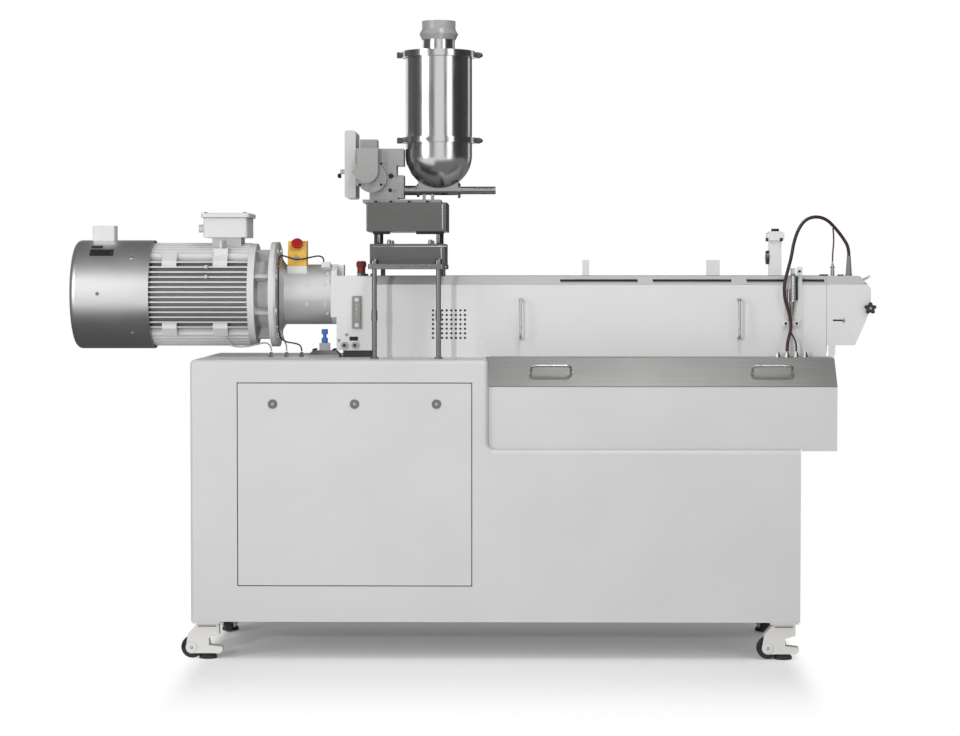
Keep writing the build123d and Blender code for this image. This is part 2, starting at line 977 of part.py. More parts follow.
def make_support_post():
    half = post_size / 2
    post = box_between(
        post_x - half,
        post_x + half,
        machine_y - half,
        machine_y + half,
        hood_top + seat_gap,
        hood_top + post_height,
    )
    cap_half = post_cap_size / 2
    cap_bottom = hood_top + post_height
    cap = box_between(
        post_x - cap_half,
        post_x + cap_half,
        machine_y - cap_half,
        machine_y + cap_half,
        cap_bottom,
        cap_bottom + post_cap_height,
    )
    cap = chamfer(cap.faces().sort_by(Axis.Z)[-1].edges(), post_cap_chamfer)
    disc_left = post_x - half - post_disc_thickness
    disc_z = hood_top + post_disc_height
    disc = rod_x(post_disc_diameter / 2, disc_left, post_x - half, machine_y, disc_z)
    return post + cap + disc


def make_post_knob():
    z = hood_top + post_height + post_cap_height
    return rod_z(post_knob_diameter / 2, z, z + post_knob_height, post_x, machine_y)


# Wiring panel

def make_wiring_panel():
    front = hood_front - panel_sheet
    panel = box_between(
        panel_left,
        panel_left + panel_width,
        front,
        hood_front - seat_gap,
        lid_top + seat_gap,
        hood_top,
    )
    middle = sum(plug_x) / 2
    low = box_between(
        middle - saddle_width / 2,
        middle + saddle_width / 2,
        front - saddle_thickness,
        front,
        saddle_low_z - saddle_size / 2,
        saddle_low_z + saddle_size / 2,
    )
    return panel + low


def make_plug_connectors():
    plugs = []
    y = hood_front - panel_sheet - plug_diameter / 2 - plug_ring - seat_gap
    for x in plug_x:
        plug = rod_z(plug_diameter / 2, plug_top - plug_length, plug_top, x, y)
        ring_top = plug_top - plug_ring_below_top
        plug += rod_z(plug_diameter / 2 + plug_ring, ring_top - plug_ring_height, ring_top, x, y)
        clip_top = plug_top - plug_clip_below_top
        plug += box_between(
            x - plug_clip_width / 2,
            x + plug_clip_width / 2,
            y,
            hood_front - panel_sheet,
            clip_top - plug_clip_height,
            clip_top,
        )
        plugs.append(plug)
    return group(plugs)


def gland(x, y, z, height=gland_height):
    nut = extrude(Pos(x, y, z) * RegularPolygon(gland_diameter / 2, 6), amount=gland_flange)
    neck = rod_z(gland_diameter * 0.4, z + gland_flange, z + height, x, y)
    return nut + neck


def make_cable_glands():
    glands = []
    for x in duct_gland_x:
        glands.append(gland(x, duct_gland_y, lid_top))
    for x in cabinet_gland_x:
        glands.append(gland(x, cabinet_gland_y, cabinet_top))
    glands.append(gland(relief_x, relief_y, hood_top, relief_height))
    glands.append(gland(branch_gland_x, relief_y, hood_top, branch_gland_height))
    for z in clip_z:
        glands.append(
            box_between(
                lantern_face,
                lantern_face + clip_thickness,
                clip_y - clip_size / 2,
                clip_y + clip_size / 2,
                z - clip_size / 2,
                z + clip_size / 2,
            )
        )
    block = box_between(
        lead_block_left,
        lead_block_left + lead_block_length,
        lead_block_y,
        lead_block_y + lead_block_depth,
        motor_axis_z + lantern_radius * 0.9,
        motor_axis_z + lantern_radius + lead_block_height,
    )
    saddle = rod_x(lantern_radius + seat_gap, lantern_left, lantern_right, machine_y, motor_axis_z)
    glands.append(block - saddle)
    return group(glands)


# Gearbox

def make_gearbox_housing():
    outline = [
        (gearbox_left, gearbox_flange_bottom),
        (gearbox_left, gearbox_top),
        (hood_left - seat_gap, gearbox_top),
        (hood_left - seat_gap, gearbox_bottom),
        (gearbox_left + gearbox_flange_length, gearbox_bottom),
        (gearbox_left + gearbox_flange_length, gearbox_flange_bottom),
    ]
    housing = plate_xz(outline, gearbox_front, gearbox_back)
    upright = housing.edges().filter_by(Axis.X).group_by(Axis.Z)[-1]
    housing = fillet(upright, gearbox_edge)
    flange_right = gearbox_left + gearbox_flange_length
    housing += box_between(
        gearbox_left,
        flange_right,
        gearbox_front + gearbox_flange_inset,
        gearbox_back - gearbox_flange_inset,
        gearbox_top,
        gearbox_flange_top,
    )
    housing += rod_x(lantern_radius, gearbox_left, flange_right, machine_y, motor_axis_z)
    housing += box_between(
        gearbox_left,
        gearbox_left + lug_width,
        machine_y - lug_depth / 2,
        machine_y + lug_depth / 2,
        gearbox_flange_top,
        gearbox_flange_top + lug_height,
    )
    housing += box_between(
        flange_right,
        gearbox_left + lug_width,
        machine_y - lug_depth / 2,
        machine_y + lug_depth / 2,
        gearbox_top,
        gearbox_flange_top,
    )
    for x in drain_x:
        housing += rod_y(
            drain_diameter / 2, gearbox_front - drain_height, gearbox_front, x, drain_z
        )
    return housing


def make_gearbox_base():
    left = gearbox_left + gearbox_foot_in
    return box_between(
        left,
        hood_left - gearbox_foot_right_in,
        gearbox_front + gearbox_foot_set_back,
        gearbox_back - gearbox_foot_set_back,
        cabinet_top,
        gearbox_bottom,
    )


def make_sight_glass():
    glass = box_between(
        sight_x - sight_width / 2,
        sight_x + sight_width / 2,
        gearbox_front - sight_thickness,
        gearbox_front,
        sight_z - sight_height / 2,
        sight_z + sight_height / 2,
    )
    return fillet(glass.edges().filter_by(Axis.Z), sight_round)


def make_breather_cap():
    z = gearbox_top
    base = rod_z(breather_base_diameter / 2, z, z + breather_base_height, breather_x, breather_y)
    top = z + breather_base_height
    cap = rod_z(breather_cap_diameter / 2, top, top + breather_cap_height, breather_x, breather_y)
    cap = fillet(cap.faces().sort_by(Axis.Z)[-1].edges(), breather_cap_round)
    return base + cap


def make_sensor_block():
    pad = box_between(
        sensor_x - sensor_pad_length / 2,
        sensor_x + sensor_pad_length / 2,
        sensor_y - sensor_pad_depth / 2,
        sensor_y + sensor_pad_depth / 2,
        cabinet_top,
        cabinet_top + sensor_pad_height,
    )
    pad = chamfer(pad.faces().sort_by(Axis.Z)[-1].edges(), sensor_pad_chamfer)
    half = sensor_post / 2
    pad += box_between(
        sensor_x - half,
        sensor_x + half,
        sensor_y - half,
        sensor_y + half,
        cabinet_top + sensor_pad_height,
        cabinet_top + sensor_pad_height + sensor_post_height,
    )
    return pad


def make_level_sensors():
    z = cabinet_top + sensor_pad_height + sensor_post_height
    body = rod_z(sensor_diameter / 2, z, z + sensor_height, sensor_x, sensor_y)
    top = z + sensor_height
    body += rod_z(sensor_neck / 2, top, top + sensor_neck, sensor_x, sensor_y)
    body += rod_z(
        sensor_diameter / 2,
        top + sensor_neck,
        top + sensor_neck + sensor_height,
        sensor_x,
        sensor_y,
    )
    return body


# Coupling lantern

def make_coupling_lantern():
    sections = [
        (lantern_right, 0),
        (lantern_right, lantern_radius),
        (lantern_face + lantern_cone_length, lantern_radius),
        (lantern_face, lantern_cone_radius),
        (lantern_face, flange_radius),
        (lantern_left, flange_radius),
        (lantern_left, 0),
    ]
    profile = Polyline(*[(x, machine_y, motor_axis_z + r) for x, r in sections], close=True)
    axis = Axis((0, machine_y, motor_axis_z), (1, 0, 0))
    lantern = revolve(make_face(profile), axis=axis)
    for index in range(flange_bolts):
        angle = math.radians(360 * (index + 0.5) / flange_bolts)
        y = machine_y + flange_bolt_circle * math.cos(angle)
        z = motor_axis_z + flange_bolt_circle * math.sin(angle)
        bolt_end = lantern_face + flange_bolt_height
        lantern += rod_x(flange_bolt_radius, lantern_face, bolt_end, y, z)
    return lantern


# Motor

def fin_sketch():
    """The stator's cross-section: round core, flat fins on four sides."""
    bars = Sketch()
    for index in range(fins_on_side):
        offset = fin_pitch * (index - (fins_on_side - 1) / 2)
        bars += Pos(0, offset) * Rectangle(2 * fin_radius, fin_thickness)
        bars += Pos(offset, 0) * Rectangle(fin_thickness, 2 * fin_radius)
    return Circle(stator_radius) + (bars & Circle(fin_radius))


def make_motor_body():
    plane = Plane(origin=(stator_left, machine_y, motor_axis_z), x_dir=(0, 1, 0), z_dir=(1, 0, 0))
    body = extrude(plane * fin_sketch(), amount=stator_length)
    body += rod_x(shield_radius, stator_right, shield_right, machine_y, motor_axis_z)
    body += rod_x(neck_radius, shield_right, motor_flange_left, machine_y, motor_axis_z)
    body += rod_x(flange_radius, motor_flange_left, motor_flange_right, machine_y, motor_axis_z)
    body += rod_x(
        rear_shield_radius, stator_left - rear_shield_length, stator_left, machine_y, motor_axis_z
    )
    boss_length = cowl_radius - cowl_sheet - cowl_boss_gap
    for index in range(cowl_bosses):
        boss = Pos(0, 0, boss_length / 2) * Cylinder(cowl_boss, boss_length)
        angle = 360 * (index + 0.5) / cowl_bosses
        body += Pos(stator_left - cowl_boss_in, machine_y, motor_axis_z) * Rot(angle, 0, 0) * boss
    middle = (shield_right + motor_flange_left) / 2
    for index in range(neck_ribs):
        rib = Box(neck_length, neck_rib, shield_radius - neck_rib_in)
        rib = Pos(0, 0, (shield_radius - neck_rib_in) / 2) * rib
        angle = 360 * (index + 0.5) / neck_ribs
        body += Pos(middle, machine_y, motor_axis_z) * Rot(angle, 0, 0) * rib
    for distance in motor_lug_from_flange:
        x0 = motor_flange_left - distance - motor_lug_length
        for side_y in (-1, 1):
            for side_z in (-1, 1):
                y_outer = machine_y + side_y * motor_lug_outer
                z_outer = motor_axis_z + side_z * motor_lug_outer
                ys = sorted((machine_y + side_y * motor_lug_inner, y_outer))
                zs = sorted((motor_axis_z + side_z * motor_lug_inner, z_outer))
                lug = box_between(x0, x0 + motor_lug_length, ys[0], ys[1], zs[0], zs[1])
                edge = lug.edges().filter_by(Axis.X).sort_by_distance((x0, y_outer, z_outer))[0]
                body += chamfer(edge, motor_lug_chamfer)
    eye_z = motor_axis_z + motor_lug_outer
    eye_y = machine_y - motor_lug_inner - eyebolt_in
    ring_radius = eyebolt_ring - eyebolt_rod / 2
    ring_z = eye_z + eye_block_height + ring_radius - eyebolt_sink
    body += Pos(eyebolt_x, eye_y, ring_z) * Rot(0, 90, 0) * Torus(ring_radius, eyebolt_rod / 2)
    body += box_between(
        eyebolt_x - eye_block_length / 2,
        eyebolt_x + eye_block_length / 2,
        eye_y - eye_block_depth / 2,
        eye_y + eye_block_depth / 2,
        eye_z - eye_block_height,
        eye_z + eye_block_height,
    )
    return body


def make_fan_cowl():
    outer = rod_x(cowl_radius, cowl_left, cowl_right, machine_y, motor_axis_z)
    outer = fillet(outer.faces().sort_by(Axis.X)[0].edges(), cowl_round)
    inner = rod_x(
        cowl_radius - cowl_sheet, cowl_left + cowl_sheet, cowl_right + 1, machine_y, motor_axis_z
    )
    inner = fillet(inner.faces().sort_by(Axis.X)[0].edges(), cowl_round - cowl_sheet)
    cowl = outer - inner
    slot_length = cowl_slot_outer - cowl_slot_inner
    for index in range(cowl_slots):
        slot = Box(4 * cowl_sheet, cowl_slot_width, slot_length)
        slot = Pos(cowl_left, 0, cowl_slot_inner + slot_length / 2) * slot
        cowl -= Pos(0, machine_y, motor_axis_z) * Rot(360 * index / cowl_slots, 0, 0) * slot
    return cowl


def make_terminal_box():
    right = terminal_left + terminal_length
    front = machine_y - terminal_depth / 2
    back = machine_y + terminal_depth / 2
    top = terminal_bottom + terminal_height
    box = box_between(terminal_left, right, front, back, terminal_bottom, top)
    box = fillet(box.edges().filter_by(Axis.Z), terminal_round)
    over = terminal_lid_overhang
    lid = box_between(
        terminal_left - over,
        right + over,
        front - over,
        back + over,
        top,
        top + terminal_lid_height,
    )
    lid = fillet(lid.edges().filter_by(Axis.Z), terminal_lid_corner)
    lid = fillet(lid.faces().sort_by(Axis.Z)[-1].edges(), terminal_lid_edge)
    neck_half = terminal_neck_length / 2
    middle = terminal_left + terminal_length / 2
    neck = box_between(
        middle - neck_half,
        middle + neck_half,
        machine_y - terminal_neck_depth / 2,
        machine_y + terminal_neck_depth / 2,
        motor_axis_z + stator_radius,
        terminal_bottom,
    )
    neck -= rod_x(
        fin_radius + seat_gap, terminal_left, right, machine_y, motor_axis_z
    )
    entry = rod_x(
        terminal_gland_diameter / 2,
        terminal_left - terminal_gland_length,
        terminal_left,
        machine_y - terminal_gland_in_front,
        terminal_bottom + terminal_gland_height,
    )
    return box + lid + neck + entry


def make_cowl_box():
    bottom = motor_axis_z + math.sqrt(cowl_radius**2 - (cowl_box_depth / 2) ** 2) - 0.5
    block = box_between(
        cowl_box_left,
        cowl_box_left + cowl_box_length,
        machine_y - cowl_box_depth / 2,
        machine_y + cowl_box_depth / 2,
        bottom,
        motor_axis_z + cowl_radius + cowl_box_height,
    )
    block = fillet(block.edges().filter_by(Axis.Z), cowl_box_round)
    round_body = rod_x(
        cowl_radius + seat_gap, cowl_left, cowl_right, machine_y, motor_axis_z
    )
    return block - round_body


# Emergency stop

def make_stop_box():
    bottom = motor_axis_z + lantern_radius + seat_gap
    front = machine_y - stop_depth
    outline = [
        (front, bottom),
        (front, bottom + stop_height * stop_front_share),
        (front + stop_depth * stop_slope_share, bottom + stop_height),
        (machine_y, bottom + stop_height),
        (machine_y, bottom),
    ]
    box = bar_yz(outline, stop_left, stop_left + stop_length)
    saddle = rod_x(
        lantern_radius + seat_gap, stop_left - 1, stop_left + stop_length + 1, machine_y, motor_axis_z
    )
    skirt = box_between(
        stop_left,
        stop_left + stop_length,
        front,
        machine_y,
        motor_axis_z + lantern_radius * stop_skirt_share,
        bottom,
    )
    return box + (skirt - saddle)


def make_stop_button():
    bottom = motor_axis_z + lantern_radius + seat_gap
    front = machine_y - stop_depth
    slope_run = stop_depth * stop_slope_share
    slope_rise = stop_height * (1 - stop_front_share)
    face_y = front + slope_run / 2
    face_z = bottom + stop_height - slope_rise / 2
    slope = math.degrees(math.atan2(slope_rise, slope_run))
    stem = Pos(0, 0, stop_button_reach * 0.3 + seat_gap) * Cylinder(
        stop_button_radius * 0.5, stop_button_reach * 0.6
    )
    head = Pos(0, 0, stop_button_reach * 0.8 + seat_gap) * Cylinder(
        stop_button_radius, stop_button_reach * 0.4
    )
    button = fillet(head.faces().sort_by(Axis.Z)[-1].edges(), stop_button_round) + stem
    x = stop_left + stop_length / 2
    return Pos(x, face_y, face_z) * Rot(slope, 0, 0) * button


# Feeder

def stand_rod_places():
    front = stand_front + stand_rod_inset
    back = stand_back - stand_rod_inset
    return [(x, y) for x in stand_rod_x for y in (front, back)]


def make_stand_rods():
    rods = []
    plate_bottom = stand_plate_top - stand_plate
    for x, y in stand_rod_places():
        rod = rod_z(stand_rod_diameter / 2, cabinet_top, plate_bottom, x, y)
        rod += rod_z(
            stand_rod_diameter / 2 + stand_collar_wall,
            stand_collar_z - stand_collar_height / 2,
            stand_collar_z + stand_collar_height / 2,
            x,
            y,
        )
        rods.append(rod)
        nut = rod_z(
            stand_nut_diameter / 2, stand_plate_top, stand_plate_top + stand_nut_height, x, y
        )
        nut = fillet(nut.faces().sort_by(Axis.Z)[-1].edges(), stand_nut_round)
        rods.append(nut)
    return group(rods)


def make_stand_plate():
    plate = box_between(
        stand_left,
        stand_right,
        stand_front,
        stand_back,
        stand_plate_top - stand_plate,
        stand_plate_top,
    )
    return fillet(plate.edges().filter_by(Axis.Z), stand_plate_round)


def scale_block(left, length, bottom, height):
    front = machine_y - scale_depth / 2
    block = box_between(left, left + length, front, front + scale_depth, bottom, bottom + height)
    return fillet(block.edges().filter_by(Axis.Z), scale_edge)


def make_scale_boxes():
    low = scale_block(scale_low_left, scale_low_length, scale_low_bottom, scale_low_height)
    top = scale_block(scale_top_left, scale_top_length, scale_top_bottom, scale_top_height)
    return group([low, top])


def make_rubber_mounts():
    mounts = []
    for x in (scale_low_left + mount_inset, scale_low_left + scale_low_length - mount_inset):
        for side in (-1, 1):
            y = machine_y + side * (scale_depth / 2 - mount_inset)
            mounts.append(rod_z(mount_diameter / 2, mount_bottom, mount_bottom + mount_height, x, y))
    return group(mounts)


def make_feeder_drive():
    back = drive_front + drive_depth
    foot_left = drive_left + drive_foot_in
    foot_top = drive_bottom_z + drive_foot_height
    step_x = drive_right - drive_step
    outline = [
        (drive_left, foot_top),
        (drive_left, drive_top_z),
        (drive_right, drive_top_z),
        (drive_right, drive_top_z - arm_height),
        (step_x, drive_top_z - arm_height),
        (step_x, drive_bottom_z + lower_arm_height),
        (drive_right, drive_bottom_z + lower_arm_height),
        (drive_right, drive_bottom_z),
        (foot_left, drive_bottom_z),
        (foot_left, foot_top),
    ]
    body = plate_xz(outline, drive_front, back)
    body += box_between(
        drive_left + drive_block_from_left,
        drive_left + drive_block_from_left + drive_block_length,
        drive_front + drive_block_inset,
        back - drive_block_inset,
        drive_top_z,
        drive_top_z + drive_block_height,
    )
    disc_x = drive_left + drive_disc_from_left
    disc_z = drive_bottom_z + drive_disc_above_bottom
    body += rod_y(drive_disc_radius, drive_disc_front, drive_front, disc_x, disc_z)
    nose_z = drive_bottom_z + cover_nose_above_bottom
    shoulder_x = drive_left + cover_shoulder_from_left
    cover = [
        (shoulder_x, drive_top_z),
        (cover_round_x + cover_round_radius, drive_top_z),
        (cover_round_x + cover_round_radius, cover_round_z),
        (cover_round_x, cover_round_z - cover_round_radius),
        (drive_left + cover_chin_from_left, nose_z - cover_chin_below_nose),
        (drive_left - cover_nose_out, nose_z),
        (shoulder_x, drive_bottom_z + cover_shoulder_above_bottom),
    ]
    body += plate_xz(cover, cover_front, drive_disc_front)
    body += rod_y(cover_round_radius, cover_front, drive_disc_front, cover_round_x, cover_round_z)
    body += box_between(
        base_plate_left,
        base_plate_left + base_plate_length,
        machine_y - base_plate_depth / 2,
        machine_y + base_plate_depth / 2,
        scale_top_top,
        base_plate_top,
    )
    body += box_between(
        foot_left,
        drive_right - drive_foot_right_in,
        drive_front,
        back,
        base_plate_top,
        drive_bottom_z,
    )
    hole_x = drive_right - drive_hole_from_right
    hole_z = drive_bottom_z + drive_hole_above_bottom
    hole_end = drive_front + drive_hole_depth
    body -= rod_y(drive_hole_diameter / 2, drive_front - 1, hole_end, hole_x, hole_z)
    return body


def make_control_box():
    right = drive_left
    front = drive_front + control_set_back
    box = box_between(
        right - control_length,
        right,
        front,
        front + control_depth,
        control_bottom,
        control_bottom + control_height,
    )
    box = fillet(box.edges().filter_by(Axis.Y), control_edge)
    box += rod_x(
        control_knob_diameter / 2,
        right - control_length - control_knob_length,
        right - control_length,
        front + control_knob_in,
        control_bottom + control_knob_above_bottom,
    )
    return box


def revolve_z(points, x):
    """A turned piece from radius and height points about a vertical axis at x."""
    profile = Polyline(*[(x + r, machine_y, z) for r, z in points], close=True)
    return revolve(make_face(profile), axis=Axis((x, machine_y, 0), (0, 0, 1)))


def make_hopper_shell():
    outer = hopper_radius
    inner = hopper_radius - hopper_sheet
    ball_z = bowl_bottom_z + hopper_radius
    shell = revolve_z(
        [
            (inner, ball_z),
            (outer, ball_z),
            (outer, hopper_low_z - rim_height),
            (rim_radius, hopper_low_z - rim_height),
            (rim_radius, hopper_low_z + rim_height),
            (outer, hopper_low_z + rim_height),
            (outer, hopper_top_z - rim_height),
            (rim_radius, hopper_top_z - rim_height),
            (rim_radius, hopper_top_z),
            (inner, hopper_top_z),
        ],
        hopper_x,
    )
    place = Pos(hopper_x, machine_y, ball_z)
    ball = Sphere(outer) - Sphere(inner)
    half = 2 * outer
    ball = ball - Pos(0, 0, outer) * Box(half, half, half)
    return shell + place * ball


def make_clamp_bands():
    bands = []
    for z in (hopper_low_z, hopper_top_z):
        half = band_height / 2
        inner = rim_radius + seat_gap
        band = revolve_z(
            [
                (inner, z - half),
                (band_radius + seat_gap, z - half),
                (band_radius + seat_gap, z + half),
                (inner, z + half),
            ],
            hopper_x,
        )
        for side in (-1, 1):
            xs = sorted((hopper_x + side * band_radius, hopper_x + side * (band_radius + band_lug_reach)))
            band += box_between(
                xs[0],
                xs[1],
                machine_y - band_lug / 2,
                machine_y + band_lug / 2,
                z - half,
                z + half,
            )
        bands.append(band)
    return group(bands)


def make_hopper_lid():
    z = hopper_top_z + seat_gap
    inner = neck_outer_radius - neck_wall
    return revolve_z(
        [
            (inner, z),
            (rim_radius, z),
            (rim_radius, z + lid_plate),
            (neck_outer_radius, z + lid_plate),
            (neck_outer_radius, lid_neck_top),
            (inner, lid_neck_top),
        ],
        hopper_x,
    )


def make_inlet_sleeve():
    z = lid_neck_top + seat_gap
    top = z + sleeve_height
    wall = sleeve_wall
    return revolve_z(
        [
            (sleeve_waist - wall, z),
            (sleeve_waist, z),
            (sleeve_radius, z + sleeve_height * 0.3),
            (sleeve_waist, z + sleeve_height * 0.55),
            (sleeve_waist, top),
            (sleeve_waist - wall, top),
            (sleeve_waist - wall, z + sleeve_height * 0.5),
            (sleeve_radius - wall, z + sleeve_height * 0.3),
        ],
        hopper_x,
    )


def make_screw_tube():
    axis_y = machine_y
    bowl_outer = Pos(hopper_x, machine_y, bowl_bottom_z + hopper_radius) * Sphere(
        hopper_radius + seat_gap
    )
    tube = rod_x(tube_radius, tube_right_flange_x, tube_right, axis_y, tube_axis_z)
    tube += rod_x(
        tube_housing_radius, drive_right + seat_gap, tube_right_flange_x, axis_y, tube_axis_z
    )
    for x in (tube_left_flange_x, tube_right_flange_x):
        tube += rod_x(
            tube_flange_radius, x - tube_flange_length / 2, x + tube_flange_length / 2, axis_y, tube_axis_z
        )
    saddle = box_between(
        tube_left_flange_x,
        tube_right_flange_x,
        axis_y - tube_housing_radius,
        axis_y + tube_housing_radius,
        tube_axis_z,
        bowl_bottom_z + tube_saddle_rise,
    )
    tube += saddle
    tube -= bowl_outer
    for x in tube_leg_x:
        tube += box_between(
            x - tube_leg / 2,
            x + tube_leg / 2,
            axis_y - tube_leg,
            axis_y + tube_leg,
            base_plate_top + seat_gap,
            tube_axis_z - tube_housing_radius + tube_leg_overlap,
        )
    bore = rod_x(
        tube_radius - tube_wall, tube_right_flange_x + tube_bore_in, tube_right + 1, axis_y, tube_axis_z
    )
    return tube - bore


# Casters

def caster_places():
    left = cabinet_left + caster_inset
    right = cabinet_right - caster_inset
    front = caster_inset
    back = cabinet_depth - caster_inset
    return {
        "front_left": (left, front, 0),
        "front_right": (right, front, 0),
        "rear_left": (left, back, 90),
        "rear_right": (right, back, 90),
    }


def make_caster_plates():
    plates = []
    top = cabinet_bottom
    for x, y, _ in caster_places().values():
        half = caster_plate / 2
        plate = box_between(
            x - half, x + half, y - half, y + half, top - caster_plate_height, top
        )
        plate = fillet(plate.edges().filter_by(Axis.Z), 8)
        hole_bottom = top - caster_plate_height - 1
        hole_top = top - caster_plate_height + king_pin_length + caster_play
        plate -= rod_z(king_pin_radius + pin_play, hole_bottom, hole_top, x, y)
        plates.append(plate)
    return group(plates)


def caster_axle_z():
    return wheel_lift + wheel_radius


def make_caster_housing():
    """The cast housing and levelling foot, about the swivel axis, wheel towards -X."""
    top = cabinet_bottom - caster_plate_height - caster_play
    axle_z = caster_axle_z()
    slot_half = wheel_width / 2 + wheel_clear
    half = slot_half + cheek
    outline = [
        (-housing_shoulder, top - 8),
        (-28, top),
        (30, top),
        (housing_shoulder, top - 6),
        (housing_shoulder, thumb_z + thumb_height + 22),
        (notch_in, thumb_z + thumb_height + 12),
        (notch_in, thumb_z - 3),
        (housing_lip_reach, thumb_z - 8),
        (housing_lip_reach, housing_bottom + 8),
        (housing_lip_reach - 8, housing_bottom),
        (-caster_offset, housing_bottom),
        (-caster_offset - hub_radius, axle_z),
        (-caster_offset - 12, top - 36),
    ]
    housing = plate_xz(outline, -half, half)
    housing += rod_y(hub_radius, -half, half, -caster_offset, axle_z)
    well = wheel_radius + wheel_clear
    housing -= box_between(
        -caster_offset - well - 20,
        -caster_offset + well,
        -slot_half,
        slot_half,
        -10,
        axle_z + well,
    )
    housing += rod_y(axle_radius, -slot_half, slot_half, -caster_offset, axle_z)
    housing += rod_z(king_pin_radius, top - 1, top + caster_play + king_pin_length, 0, 0)
    stem_hole = foot_stem_radius + seat_gap
    housing -= rod_z(stem_hole, housing_bottom - 1, thumb_z + 1, 0, 0)
    thumb_top = thumb_z + thumb_height
    housing -= rod_z(thumb_radius + thumb_clear, thumb_z - seat_gap, thumb_top + seat_gap, 0, 0)
    foot_profile = Polyline(
        (0, 0, 0),
        (foot_radius, 0, 0),
        (foot_radius, 0, foot_rim),
        (foot_neck_radius, 0, foot_height),
        (0, 0, foot_height),
        close=True,
    )
    foot = revolve(make_face(foot_profile), axis=Axis.Z)
    foot += rod_z(foot_stem_radius, foot_height, thumb_z, 0, 0)
    foot += rod_z(thumb_radius, thumb_z, thumb_top, 0, 0)
    return housing, foot


def make_caster_wheel():
    axle_z = caster_axle_z()
    wheel = rod_y(wheel_radius, -wheel_width / 2, wheel_width / 2, -caster_offset, axle_z)
    wheel = fillet(wheel.edges().filter_by(GeomType.CIRCLE), wheel_tread * 0.6)
    bore = rod_y(axle_radius + pin_play, -wheel_width, wheel_width, -caster_offset, axle_z)
    return wheel - bore


# Cables

def cable(points, diameter, name):
    radii = arc_radii(points)
    print(name, "bend radii", [round(radius) for radius in radii])
    tube = tube_along(points, radii, diameter)
    length = tube.volume / (math.pi * diameter**2 / 4)
    print(name, "length", round(length), "solids", len(tube.solids()))
    return tube


def route(start, steps, end=()):
    """A cable's points: where it starts, steps away from there, and where it ends."""
    x, y, z = start
    points = [start]
    for dx, dy, dz in steps:
        points.append((x + dx, y + dy, z + dz))
    return points + list(end)


duct_gland_top = lid_top + gland_height
cabinet_gland_top = cabinet_top + gland_height
relief_top = hood_top + relief_height
branch_top = hood_top + branch_gland_height

probe_cable_points = route(
    (duct_gland_x[1], duct_gland_y, duct_gland_top),
    [
        (0, 0, 22),
        (6, 9, 45.2),
        (14, 18, 73.2),
        (17, 20, 107.2),
        (9, 19, 141.2),
        (-4, 17, 179.2),
        (-6, 17, 221.2),
        (3, 21, 265.2),
        (18, 33, 309.2),
        (36, 51, 355.2),
        (62, 71, 399.2),
        (97, 89, 428.2),
        (137, 103, 429.2),
        (170, 113, 405.2),
        (196, 119, 373.2),
    ],
    [(relief_x, relief_y, relief_top + 27), (relief_x, relief_y, relief_top)],
)
tail_cable_points = route(
    (duct_gland_x[2], duct_gland_y, duct_gland_top),
    [(0, 0, 18), (-2, 7, 39.2), (-8, 16, 57.2)],
)
branch_cable_points = route(
    (branch_gland_x, relief_y, branch_top),
    [(0, 0, 19), (2, -1, 47), (4, -3, 75), (0, -5, 103)],
)
stop_cable_points = route(
    (lead_block_left + 8, lead_block_y + 10, motor_axis_z + lantern_radius + lead_block_height),
    [
        (0, 0, 13),
        (-14, -7, 21),
        (-36, -25, 17),
        (-62, -47, 10),
        (-90, -55, 7),
        (-118, -67, 17),
        (-138, -87, 23),
        (-143, -102, 1),
        (-143, -102, -229),
        (-138, -96, -251),
        (-120, -83, -265),
        (-94, -65, -269),
    ],
    [
        (cabinet_gland_x[2], cabinet_gland_y, cabinet_gland_top + 20),
        (cabinet_gland_x[2], cabinet_gland_y, cabinet_gland_top),
    ],
)
motor_cable_points = route(
    (stator_right - 74, machine_y - 113, motor_axis_z - motor_lug_outer),
    [
        (0, 0, -17),
        (14, 4, -31),
        (42, 10, -36),
        (74, 18, -34),
        (105, 27, -26),
        (129, 34, -21),
    ],
    [
        (cabinet_gland_x[0], cabinet_gland_y, cabinet_gland_top + 18),
        (cabinet_gland_x[0], cabinet_gland_y, cabinet_gland_top),
    ],
)
flange_cable_points = route(
    (lantern_face, machine_y - 117, motor_axis_z - 117),
    [(11, 0, 0), (19, 6, -16), (22, 18, -32), (27, 32, -44)],
    [
        (cabinet_gland_x[1], cabinet_gland_y, cabinet_gland_top + 14),
        (cabinet_gland_x[1], cabinet_gland_y, cabinet_gland_top),
    ],
)


nodes = {}


def add(name, shape):
    nodes[name] = shape


add("cabinet_body", make_cabinet_body())
add("cabinet_door", make_cabinet_door())
add("door_locks", make_door_locks())
add("duct_body", make_duct_body())
add("duct_lid", make_duct_lid())
add("bow_handles", make_bow_handles())
add("process_hood", make_process_hood())
add("barrel", make_barrel())
add("die_head", make_die_head())
add("discharge_hood", make_discharge_hood())
add("hand_knobs", group([make_star_knob(), make_post_knob()]))
add("support_post", make_support_post())
add("wiring_panel", make_wiring_panel())
add("plug_connectors", make_plug_connectors())
add("cable_glands", make_cable_glands())
add("gearbox_housing", make_gearbox_housing())
add("gearbox_base", make_gearbox_base())
add("sight_glass", make_sight_glass())
add("breather_cap", make_breather_cap())
add("sensor_block", make_sensor_block())
add("level_sensors", make_level_sensors())
add("coupling_lantern", make_coupling_lantern())
add("motor_body", make_motor_body())
add("fan_cowl", make_fan_cowl())
add("motor_boxes", group([make_terminal_box(), make_cowl_box()]))
add("stop_box", make_stop_box())
add("stop_button", make_stop_button())
add("stand_rods", make_stand_rods())
add("stand_plate", make_stand_plate())
add("scale_boxes", make_scale_boxes())
add("rubber_mounts", make_rubber_mounts())
add("feeder_drive", make_feeder_drive())
add("control_box", make_control_box())
add("hopper_shell", make_hopper_shell())
add("clamp_bands", make_clamp_bands())
add("hopper_lid", make_hopper_lid())
